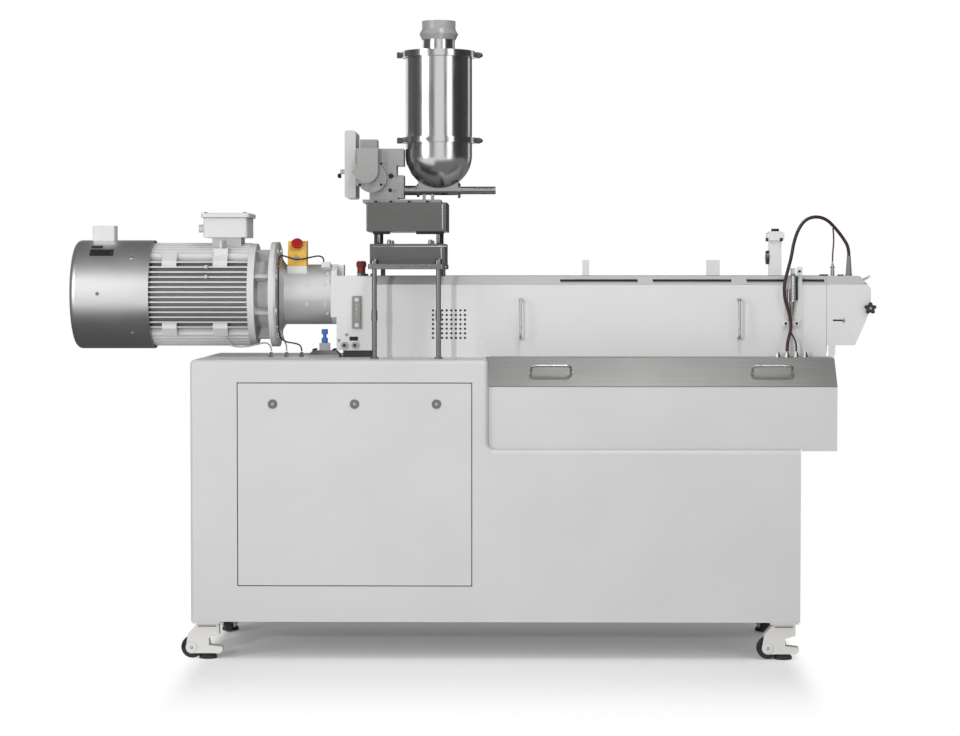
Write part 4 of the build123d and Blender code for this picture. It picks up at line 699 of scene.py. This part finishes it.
# Coupling lantern
# A cast bell that holds the coupling between motor and gearbox, in a grey
# metallic coat, with screwed hand-hole covers on its side.
axis_y = 375
axis_z = 1175
lantern_radius = 100
lantern_near_y = 280
steepest = 0.98
cover_screw_pixels = ((307, 285), (325, 285), (327, 274), (307, 305), (325, 305), (327, 314))
motor_grey = grey(0.66)
motor_enamel = enamel("motor_enamel", motor_grey, 0.34, peel=260.0, peel_height=0.0003)
dress(motor_enamel, "motor_boxes")
dress(enamel("lantern_metallic_coat", grey(0.74), 0.40, mottle=0.04, metallic=0.75), "coupling_lantern")


def on_round(x, z, radius, proud=0.0):
    """A point on the front of a round body about the machine's axis, and the way it faces there."""
    lift = math.asin(max(-steepest, min(steepest, (z - axis_z) / radius)))
    facing = Vector((0, -math.cos(lift), math.sin(lift)))
    reach = radius + proud
    return (x, axis_y + facing.y * reach, axis_z + facing.z * reach), facing


cover_screws = []
for pixel in cover_screw_pixels:
    x, _, z = seen(*pixel, lantern_near_y)
    cover_screws.append(boss(*on_round(x, z, lantern_radius, -0.6), 5.0, 3.0, (2.0, -2.2), edge=0.6))
finish("lantern_screws", cover_screws, motor_enamel)

# Motor
# A finned cast-iron motor body with bolted lugs and an open ribbed neck to its
# flange; hexagon bolts sit in the neck's windows. The shade between its fins and
# in its neck is painted into its colour.
fin_root = 0.150
fin_shade_end = 0.1715
fin_shade = 0.40
neck_left_x = -819
neck_shade = 0.75
neck_bolt_x = -748
neck_bolt_circle = 148
neck_bolt_count = 8
fin_clip_pixels = ((206, 267), (206, 277))
fin_tip_y = 206
to_left = (-1, 0, 0)


def painted_shade_between_fins(material):
    """Paints shade into the finish towards the motor's core, between the fins and in the neck, where less
    light comes in.
    """
    desk = Desk(material.node_tree)
    place = desk.place()
    middle = at(0, axis_y, axis_z)
    around = desk.add("ShaderNodeMapping")
    around.inputs["Scale"].default_value = (0, 1, 1)
    around.inputs["Location"].default_value = (0, -middle.y, -middle.z)
    desk.feed(around.inputs["Vector"], place)
    reach = desk.length(around.outputs["Vector"])
    depth = desk.remap(reach, fin_root, fin_shade_end, fin_shade, 1, "SMOOTHSTEP")
    on_neck = desk.math("GREATER_THAN", desk.axes(place)["X"], at(neck_left_x, 0, 0).x)
    return darken(material, desk.math("MAXIMUM", depth, desk.math("MULTIPLY", on_neck, neck_shade)))


# Painted shade: the finned body's colour darkens between the fins and in the neck.
dress(painted_shade_between_fins(enamel("motor_finned_enamel", motor_grey, 0.34, 260.0, 0.0003)), "motor_body")
bolt_places = []
for step in range(neck_bolt_count):
    turn = 2 * math.pi * (step + 0.5) / neck_bolt_count
    y = axis_y + neck_bolt_circle * math.cos(turn)
    bolt_places.append((neck_bolt_x, y, axis_z + neck_bolt_circle * math.sin(turn)))
bosses(
    "motor_neck_bolts", bolt_places, screw_steel, "machined",
    to_left, 8.5, 7, (2.6, 0.0), (0.4, 3.0), sides=6, edge=0.7,
)
fin_clips = []
for pixel in fin_clip_pixels:
    clip = block((0, -4, -6), (8, 4, 6), 1.2)
    clip.location = at(*seen(*pixel, fin_tip_y))
    fin_clips.append(clip)
finish("motor_fin_clips", fin_clips, bright_steel)

# Fan cowl
# A spun steel cowl over the motor's fan with a slotted end, in a metallic
# coat, held by domed screws; its rating plate is a bare black plate.
cowl_radius = 181
cowl_near_y = 200
cowl_screw_pixels = ((96.4, 293.9), (131, 257.5), (131.5, 333.9))
plate_pixels = ((90, 249.8), (112.3, 256))
strip_pixels = ((91.5, 246), (102, 248.3))
rivet_pixels = ((91.6, 253.2), (110.8, 253.2))
plate_proud = 1.0
dress(enamel("cowl_metallic_coat", grey(0.84), 0.40, mottle=0.04, metallic=1.0), "fan_cowl")
plate_black = enamel("rating_plate_black", (0.02, 0.02, 0.021), 0.35)


def on_cowl(pixel, proud=0.0):
    """A point on the cowl's round side, and the way it faces there."""
    x, _, z = seen(*pixel, cowl_near_y)
    (_, near_y, _), _ = on_round(x, z, cowl_radius)
    x, _, z = seen(*pixel, near_y)
    return on_round(x, z, cowl_radius, proud)


def curved_plate(pixels):
    """A thin plate that follows the cowl's round side between two pixels."""
    (x0, _, _), top_facing = on_cowl(pixels[0])
    (x1, _, _), low_facing = on_cowl(pixels[1])
    top_turn = math.asin(top_facing.z)
    low_turn = math.asin(low_facing.z)
    reach = cowl_radius + plate_proud
    bpy.ops.mesh.primitive_grid_add(x_subdivisions=2, y_subdivisions=8, size=1)
    plate = bpy.context.object
    for vertex in plate.data.vertices:
        turn = low_turn + (vertex.co.y + 0.5) * (top_turn - low_turn)
        x = x0 + (vertex.co.x + 0.5) * (x1 - x0)
        vertex.co = at(x, axis_y - reach * math.cos(turn), axis_z + reach * math.sin(turn))
    thickness = plate.modifiers.new("sheet", "SOLIDIFY")
    thickness.thickness = (plate_proud + 1.0) * mm
    thickness.offset = -1
    bpy.ops.object.modifier_apply(modifier="sheet")
    return plate


cowl_screws = [
    boss(*on_cowl(pixel, -0.6), 6.0, 2.0, (1.0, 1.2), (2.0, -1.0))
    for pixel in cowl_screw_pixels
]
finish("cowl_screws", cowl_screws, bright_steel)
bare_plates = [curved_plate(pixels) for pixels in (plate_pixels, strip_pixels)]
finish("cowl_bare_plates", bare_plates, plate_black)
rivets = [boss(*on_cowl(pixel, 0.8), 2.4, 0.8, (0.8, 0.5), sides=16) for pixel in rivet_pixels]
finish("cowl_plate_rivets", rivets, bright_steel)

# Terminal box
# The motor's cast terminal box with a black seal under its lipped lid, which
# is held by sunk cap screws.
box_left_x = -960
box_right_x = -831
box_top_z = 1445
seal_low = (box_left_x - 8.6, 270.4, box_top_z - 16.6)
lid_seal = block(seal_low, (box_right_x + 9.6, 479.6, box_top_z - 14.6), 0.5)
finish("terminal_lid_seal", [lid_seal], black_parts_and_shade)
lid_screw_places = [(x, y, box_top_z) for x in (box_left_x, box_right_x) for y in (281, 469)]
bosses(
    "terminal_lid_screws", lid_screw_places, black_steel, "dark_steel",
    upward, 5.5, 2.0, (1.8, -1.6), edge=0.4,
)

# Stop switch
# A yellow switch box with an emergency stop button, a red mushroom head on a
# sloped face, on a grey saddle and with a cable gland in its front.
stop_gland_pixel = (296, 258.5)
stop_front_y = 305
dress(enamel("stop_box_yellow", (0.70, 0.42, 0.075), 0.35), "stop_box")
dress(enamel("stop_button_red", (0.34, 0.012, 0.012), 0.22, mottle=0.02), "stop_button")
stop_saddle = block((-693, 303, 1244), (-627, 377, 1269), 2.5)
finish("stop_box_saddle", [stop_saddle], motor_enamel)
stop_gland_place = seen(*stop_gland_pixel, stop_front_y)
bosses(
    "stop_box_gland", [stop_gland_place], screw_steel, "machined",
    to_front, 9, 5, (1.5, 3.0), (2.0, 2.0), edge=0.8,
)

# Feeder stand
# A thick steel plate on four bright rods that stand on the cabinet, each with
# a collar half way up and a domed nut above the plate.
rod_left_x = -392
rod_right_x = -184
rod_front_y = 105
rod_back_y = 645
cabinet_top_z = 968
rod_chrome = brushed("stand_rod_chrome", grey(0.24), 0.26, (160, 160, 6), 0.0, 0.08)
dress(brushed("stand_plate_steel", grey(0.30), 0.38, (120, 120, 120), contrast=0.35), "stand_plate")
dress(rod_chrome, "stand_rods")
rod_places = [(x, y, cabinet_top_z) for x in (rod_left_x, rod_right_x) for y in (rod_front_y, rod_back_y)]
bosses("stand_rod_feet", rod_places, rod_chrome, "polished", upward, 15, 3, (3.0, 3.0), edge=0.8)

# Scale
# Two shallow weighing boxes of dark brushed steel, one above the other, on
# black rubber mounts; the feeder stands on the upper one.
scale_front_y = 225
trim_rows = (246.6, 267.0)
trim_columns = (373.5, 446.5)
trim_half = 1.6
nut_row = 260.5
nut_columns = (374.4, 438.9)
mount_front_y = 238
mount_line_half = 0.9
dress(brushed("scale_dark_steel", (0.18, 0.178, 0.175), 0.32, (9, 800, 800), 0.00004, 0.2), "scale_boxes")
mount_rubber = enamel("mount_black_rubber", (0.016, 0.016, 0.017), 0.55, peel=800.0)
dress(mount_rubber, "rubber_mounts")
box_trims = []
for row in trim_rows:
    (left, _, z), (right, _, _) = (seen(column, row, scale_front_y) for column in trim_columns)
    low = (left, scale_front_y - 1.2, z - trim_half)
    box_trims.append(block(low, (right, scale_front_y + 1, z + trim_half), 0.7))
finish("scale_box_trims", box_trims, bright_steel)
nut_places = [seen(column, nut_row, scale_front_y) for column in nut_columns]
bosses(
    "scale_cap_nuts", nut_places, bright_steel, "polished",
    to_front, 6.5, 3.0, (1.2, 1.6), (1.4, 1.0), sides=6, edge=0.5,
)
edge_beads = [
    block((x0, scale_front_y - 1, z0), (x1, scale_front_y + 0.8, z1), 0.6)
    for x0, x1, z0, z1 in ((-176, -173, 1389, 1472), (-180, -177.5, 1281, 1336))
]
finish("scale_edge_beads", edge_beads, bright_steel)
mount_lines = [
    block((x - mount_line_half, mount_front_y, 1344), (x + mount_line_half, mount_front_y + 4, 1381), 0.5)
    for x in (-387, -382, -191, -186)
]
finish("mount_light_lines", mount_lines, bright_steel)
mount_caps = [block((x0, 232, 1374), (x1, 262, 1384), 2.0) for x0, x1 in ((-404, -348), (-262, -170))]
finish("mount_caps", mount_caps, mount_rubber)
stud_places = [(x, y, 1342) for x in (-352, -216) for y in (262, 488)]
bosses("mount_studs", stud_places, screw_steel, "machined", upward, 7, 10, (1.5, 4.0), sides=20, edge=0.8)

# Feeder drive
# A gear and motor block in hammered grey enamel that turns the feeding screw,
# with a screwed side cover and a round turned cover over its gear.
drive_front_y = 275
drive_screw_pixels = ((381.3, 164), (381.3, 185), (360, 185))
drive_port_pixels = ((391.9, 176.1), (390.3, 190.6))
dress(enamel("feeder_hammered_enamel", (0.36, 0.36, 0.355), 0.30, 260.0, 0.0006, 0.30), "feeder_drive")
drive_screws = [seen(*pixel, drive_front_y) for pixel in drive_screw_pixels]
bosses(
    "drive_cover_screws", drive_screws, black_steel, "dark_steel", to_front, 4.5, 2.4, (1.8, -1.8), edge=0.5
)
drive_ports = [seen(*pixel, drive_front_y) for pixel in drive_port_pixels]
bosses("drive_ports", drive_ports, black_steel, "dark_steel", to_front, 6.5, 2.0, (1.2, 1.0), (1.6, -2.4))
foot_bolt_places = [(x, y, 1478) for x in (-395, -345, -285, -225) for y in (245, 505)]
bosses(
    "feeder_foot_bolts", foot_bolt_places, black_steel, "dark_steel",
    upward, 6.0, 5, (2.0, 0.8), sides=6, edge=0.6,
)

# Control box
# The feeder's slim control box, an enamelled housing with a lid lip and a
# black knob on its left side.
knob_place = (-520, 420, 1573)
dress(enamel("control_box_enamel", (0.52, 0.52, 0.515), 0.30, 180.0, 0.0005), "control_box")
knob_plastic = enamel("control_knob_black", (0.014, 0.014, 0.015), 0.3)
bosses(
    "control_knob", [knob_place], knob_plastic, "black_plastic",
    to_left, 8, 9, (1.5, 2.0), (2.5, 1.0), edge=0.8,
)

# Hopper
# A polished stainless hopper: a straight shell on a round bowl, closed by a
# flanged lid, its joints held by clamp bands with knuckles and nuts.
hopper_radius = 121
band_z = (1688, 1972)
lug_reach = (122, 139.8)
lug_half_depth = 10.8
lug_half_height = 9.6
knob_shifts = (-38, 34)
to_right = (1, 0, 0)
polish_grain = (160, 160, 3)
hopper_steel = brushed("hopper_polished_stainless", (0.64, 0.64, 0.635), 0.19, polish_grain, 0.00001, 0.05)
dress(hopper_steel, "hopper_shell", "hopper_lid", "clamp_bands")
dress(enamel("sleeve_translucent_grey", (0.33, 0.335, 0.335), 0.28, peel=90.0), "inlet_sleeve")
lid_low, lid_high = in_drawing("hopper_lid")
hopper_x = (lid_low.x + lid_high.x) / 2
lugs = []
for z in band_z:
    for near, far in ((-lug_reach[1], -lug_reach[0]), lug_reach):
        low = (hopper_x + near, axis_y - lug_half_depth, z - lug_half_height)
        lugs.append(block(low, (hopper_x + far, axis_y + lug_half_depth, z + lug_half_height), 2.5))
lug_steel = brushed("clamp_lug_steel", grey(0.12), 0.3, (120, 120, 120))
finish("clamp_lugs", lugs, lug_steel)
nut_places = [(hopper_x + 138, axis_y, z) for z in band_z]
bosses(
    "clamp_round_nuts", nut_places, lug_steel, "dark_steel",
    to_right, 7.0, 6, (1.5, 1.5), (2.0, 1.0), sides=20, edge=1.2,
)
band_knobs = [(hopper_x + shift, axis_y - hopper_radius - 2, band_z[0]) for shift in knob_shifts]
bosses(
    "clamp_band_knobs", band_knobs, bright_steel, "polished",
    to_front, 5.0, 5, (1.0, 1.0), sides=20, edge=0.8,
)

# Feeding tube
# The polished tube that carries the screw out of the bowl, with a clamped
# flange half way and a turned outlet at its end.
tube_front_y = 352
tube_bolt_pixels = ((459, 184.5), (459, 197.5))
dress(brushed("tube_satin_steel", grey(0.36), 0.22, (3, 160, 160), 0.00001, 0.06), "screw_tube")
tube_bolts = [seen(*pixel, tube_front_y) for pixel in tube_bolt_pixels]
bosses(
    "tube_clamp_bolts", tube_bolts, black_steel, "dark_steel",
    to_front, 4.2, 4, (1.4, 0.8), sides=6, edge=0.5,
)

# Discharge hood
# The tapered end hood over the die head, painted as the process hood, with a
# black star knob and a hinge pin in front and a small latch lever at its end.
star_x = 1232
star_z = 1130
slope_top_x = 1203
slope_end_x = 1225.7
pin_pixel = (832.3, 320.3)
ring_pixel = (842, 320.3)
pin_y = 262
dress(enamel("star_knob_black", (0.015, 0.015, 0.016), 0.32), "hand_knobs")
star_place = (star_x, in_drawing("hand_knobs")[0].y + 1, star_z)
bosses("star_knob_core", [star_place], screw_steel, "machined", to_front, 4.4, 3, (1.2, 1.0), edge=0.5)


def corner_plate(corners, inward):
    """A three-cornered plate whose far face lies a little inward of its corners."""
    bpy.ops.mesh.primitive_cylinder_add(vertices=3)
    plate = bpy.context.object
    for index, corner in enumerate(corners):
        plate.data.vertices[2 * index].co = at(*corner) + Vector(inward) * mm
        plate.data.vertices[2 * index + 1].co = at(*corner)
    bpy.ops.object.mode_set(mode="EDIT")
    bpy.ops.mesh.select_all(action="SELECT")
    bpy.ops.mesh.normals_make_consistent(inside=False)
    bpy.ops.mesh.bevel(offset=0.2 * mm, segments=1, affect="EDGES")
    bpy.ops.object.mode_set(mode="OBJECT")
    return plate


corner_caps = []
for top_y, side_y, inward_y in ((hood_top_y, hood_front_y, 1.3), (456, 490, -1.3)):
    side_corners = [(x, side_y, chamfer_low_z) for x in (slope_top_x, slope_end_x)]
    corner_caps.append(corner_plate([(slope_top_x, top_y, hood_top_z), *side_corners], (0, inward_y, -1.6)))
finish("discharge_corner_caps", corner_caps, hood_coat)
latch_lever = block((1221, 364, 1225), (1251, 386, 1232), 1.5)
latch_lever.rotation_euler.y = math.radians(-27)
finish("discharge_latch_lever", [latch_lever], hood_coat)
seal_plate = block((1084, 340, hood_top_z - 0.4), (1106, 410, hood_top_z + 5), 1.0)
latch_pad = block((1143, 345, hood_top_z - 0.4), (1158, 405, hood_top_z + 4.5), 1.2)
finish("discharge_top_pads", [seal_plate, latch_pad], black_parts_and_shade)
bosses(
    "hood_hinge_pin", [seen(*pin_pixel, pin_y)], black_steel, "dark_steel",
    to_right, 3.4, 32, (0.8, 1.0), sides=20, edge=0.5,
)
ring_place = seen(*ring_pixel, pin_y)
bosses("hood_hinge_pin_ring", [ring_place], screw_steel, "machined", to_right, 7.5, 4, (1.5, 1.4), edge=0.6)

# Support post
# A square post on the hood's top, pale coated, with a chamfered cap, two
# black clips, a clamp disc at its left and a wing knob.
post_clip_z = 1351
dress(enamel("post_pale_coat", (0.72, 0.72, 0.715), 0.28, mottle=0.04), "support_post")
post_clips = [block((x, 343, post_clip_z), (x + 9, 352, post_clip_z + 12), 1.6) for x in (898, 945)]
finish("post_clips", post_clips, knob_plastic)
bosses(
    "post_clamp_disc", [(912, axis_y, 1298)], lug_steel, "dark_steel",
    to_left, 22.8, 10, (2.0, 0.8), (13.0, 1.2), sides=40, edge=0.6,
)

# Heater plugs
# Two chrome plug shells on the wiring panel, with a braided lead and a boot
# below them, and a saddle that clamps the leads to the panel.
plug_x = 979
side_plug_x = 963
braid_x = 974
boot_x = 970
plug_y = 243
plug_low_z = 1152
downward = (0, 0, -1)
plug_chrome = brushed("plug_chrome", grey(0.50), 0.20, (120, 120, 10), 0.0, 0.08)
plug_cap = block((970, 237, 1238), (986.5, 251, 1262), 2.0)
main_shell = boss((plug_x, plug_y, plug_low_z), upward, 8.5, 84, (1.2, 1.0), sides=40, edge=0.8)
side_shell = boss((side_plug_x, 246, 1150), upward, 5.5, 42, (1.2, 1.0), sides=32, edge=0.8)
plug_shells = finish("plug_shells", [plug_cap, main_shell, side_shell], plug_chrome)
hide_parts("plug_connectors")
braid_steel = brushed("lead_braid_steel", (0.40, 0.38, 0.36), 0.4, (500, 500, 260), 0.0003, 0.5)
braid_place = (braid_x, plug_y, plug_low_z)
bosses(
    "plug_braid", [braid_place], braid_steel, "machined",
    downward, 9.0, 16, (0.8, 14.0), (1.4, 10.0), (1.0, 6.0), edge=0.6,
)
plug_boot = boss((boot_x, plug_y, 1088), upward, 6.2, 14, (1.0, 2.0), edge=0.8)
# Painted shade: a black strip stands for the shade in the wiring panel's slot.
panel_slot_shade = block((987.6, 248.5, 1156), (995, 253.2, 1235), 1.5)
finish("plug_boot_and_slot_shade", [plug_boot, panel_slot_shade], black_parts_and_shade)
lead_saddle = block((944, 248, 1070), (1001, 253.4, 1090), 2.0)
panel_tab = block((991.5, 247, 1237), (1009.5, 252, 1266), 3.0)
finish("lead_saddles", [lead_saddle, panel_tab], hood_coat)
saddle_places = [(955.3, 248, 1080), (991.5, 248, 1080), (1000, 247, 1251.5)]
bosses("saddle_screws", saddle_places, black_steel, "dark_steel", to_front, 4.4, 2.0, (1.6, -1.4), edge=0.5)

# Cable glands
# Nickel glands in the cabinet's and duct's tops, one on the discharge hood
# beside a tapered grey strain relief, and the clips that guide the thin cables.
gland_nickel = brushed("gland_nickel", (0.42, 0.42, 0.41), 0.20, (200, 200, 200), 0.00001, 0.08)
lid_top_z = 970.8
lid_gland_y = 215
cabinet_gland_y = 300
reliefs_y = 335
branch_x = 1119
relief_x = 1173
relief_height = 62
relief_low_radius = 10.5
relief_high_radius = 6.4
gland_places = [(x, lid_gland_y, lid_top_z) for x in (927, 957, 987, 1017)]
gland_places += [(x, cabinet_gland_y, cabinet_top_z) for x in (-746, -695, -645)]
bosses(
    "gland_nuts", gland_places, gland_nickel, "machined",
    upward, 9.2, 5, (1.6, 6.0), (1.2, 4.5), sides=6, edge=0.6,
)
branch_foot = boss((branch_x, reliefs_y, hood_top_z), upward, 6.5, 20, (1.5, 2.0), edge=0.6)
bulb_low = boss((branch_x, reliefs_y, 1265), downward, 8.6, 2, (3.0, 6.0), edge=0.6)
bulb_high = boss((branch_x, reliefs_y, 1264), upward, 8.6, 2, (3.0, 8.0), (1.6, 7.0), edge=0.6)
finish("branch_gland", [branch_foot, bulb_low, bulb_high], gland_nickel)
relief_rubber = enamel("relief_grey_rubber", grey(0.20), 0.5)
bpy.ops.mesh.primitive_cone_add(
    vertices=28, radius1=relief_low_radius * mm, radius2=relief_high_radius * mm,
    depth=relief_height * mm, location=at(relief_x, reliefs_y, hood_top_z + 35),
)
relief_cone = bpy.context.object
bpy.ops.object.mode_set(mode="EDIT")
bpy.ops.mesh.select_mode(type="FACE")
select_faces(lambda normal: normal.z > 0.9)
bpy.ops.mesh.inset(thickness=1.2 * mm)
bpy.ops.mesh.extrude_region_move(TRANSFORM_OT_translate={"value": (0, 0, 2 * mm)})
bpy.ops.object.mode_set(mode="OBJECT")
relief_place = (relief_x, reliefs_y, hood_top_z)
relief_foot = boss(relief_place, upward, 12.5, 5, (1.5, 2.0), sides=6, edge=0.8)
strain_relief = finish("strain_relief", [relief_cone, relief_foot], relief_rubber)
guide_places = [(-724, 243, z) for z in (1268, 1068)]
bosses(
    "cable_guide_clips", guide_places, gland_nickel, "machined",
    to_right, 7.0, 3, (1.2, 3.0), (1.6, 1.4), edge=0.6,
)
lead_block = block((-582, 335, 1265), (-552, 365, 1283), 2.0)
finish("cable_lead_block", [lead_block], motor_enamel)
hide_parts("cable_glands")

# Probe and motor cables
# Six cables with smooth jackets: the brown and black bundle that arches over
# to the discharge hood, and thin ones to the stop switch and the motor.
jackets = {
    "brown": enamel("cable_jacket_brown", (0.060, 0.020, 0.014), 0.36, 700.0, 0.0002, 0.55),
    "black": enamel("cable_jacket_black", (0.014, 0.014, 0.015), 0.38, peel=900.0),
    "light": enamel("cable_jacket_light", (0.42, 0.42, 0.41), 0.38, peel=900.0),
}


def lay_cable(node, route, thickness, jacket):
    """A cable on one smooth line, laid where its node of the frame is, which it hides."""
    line = bpy.data.curves.new(node + "_line", "CURVE")
    line.dimensions = "3D"
    line.bevel_depth = thickness * mm / 2
    line.bevel_resolution = 5
    line.resolution_u = 10
    line.use_fill_caps = True
    spline = line.splines.new("NURBS")
    spline.points.add(len(route) - 1)
    for point, place in zip(spline.points, route):
        point.co = (*at(*place), 1)
    spline.order_u = 3
    spline.use_endpoint_u = True
    cable = bpy.data.objects.new(node + "_line", line)
    bpy.context.collection.objects.link(cable)
    line.materials.append(jackets[jacket])
    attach(cable, "machine")
    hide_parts(node)


probe_route = [
    (957, 215, 988.8), (957, 215, 1010.8), (963, 224, 1034), (971, 233, 1062), (970, 234, 1096),
    (960, 233, 1130), (949, 231, 1168), (948, 231, 1210), (960, 236, 1254), (973, 248, 1298),
    (982, 266, 1344), (999, 286, 1390), (1025, 300, 1424), (1061, 309, 1434), (1098, 319, 1424),
    (1129, 328, 1393), (1154, 334, 1362), (1173, 335, 1330), (1173, 335, 1303),
]
lay_cable("probe_cable", probe_route, 11, "brown")
tail_route = [(987, 215, 988.8), (987, 215, 1006.8), (984, 222, 1028), (971, 230, 1049)]
lay_cable("probe_cable_tail", tail_route, 6, "black")
branch_route = [
    (1119, 335, 1283), (1119, 335, 1302), (1121, 334, 1330), (1123, 331, 1360), (1119, 327, 1395),
]
lay_cable("probe_cable_branch", branch_route, 5, "brown")
stop_route = [
    (-574, 345, 1283), (-574, 345, 1296), (-588, 338, 1304), (-610, 320, 1300), (-636, 298, 1293),
    (-664, 290, 1290), (-692, 278, 1300), (-712, 258, 1306), (-717, 243, 1284), (-717, 243, 1054),
    (-712, 249, 1032), (-694, 262, 1018), (-668, 280, 1014), (-645, 300, 1006), (-645, 300, 986),
]
lay_cable("stop_cable", stop_route, 5, "black")
motor_route = [
    (-892, 262, 1037), (-892, 262, 1020), (-878, 266, 1006), (-850, 272, 1001), (-818, 280, 1003),
    (-787, 289, 1011), (-763, 296, 1016), (-746, 300, 1004), (-746, 300, 986),
]
lay_cable("motor_cable", motor_route, 5, "light")
flange_route = [
    (-724, 258, 1058), (-713, 258, 1058), (-705, 264, 1042), (-702, 276, 1026), (-697, 290, 1014),
    (-695, 300, 1000), (-695, 300, 986),
]
lay_cable("flange_cable", flange_route, 5, "light")
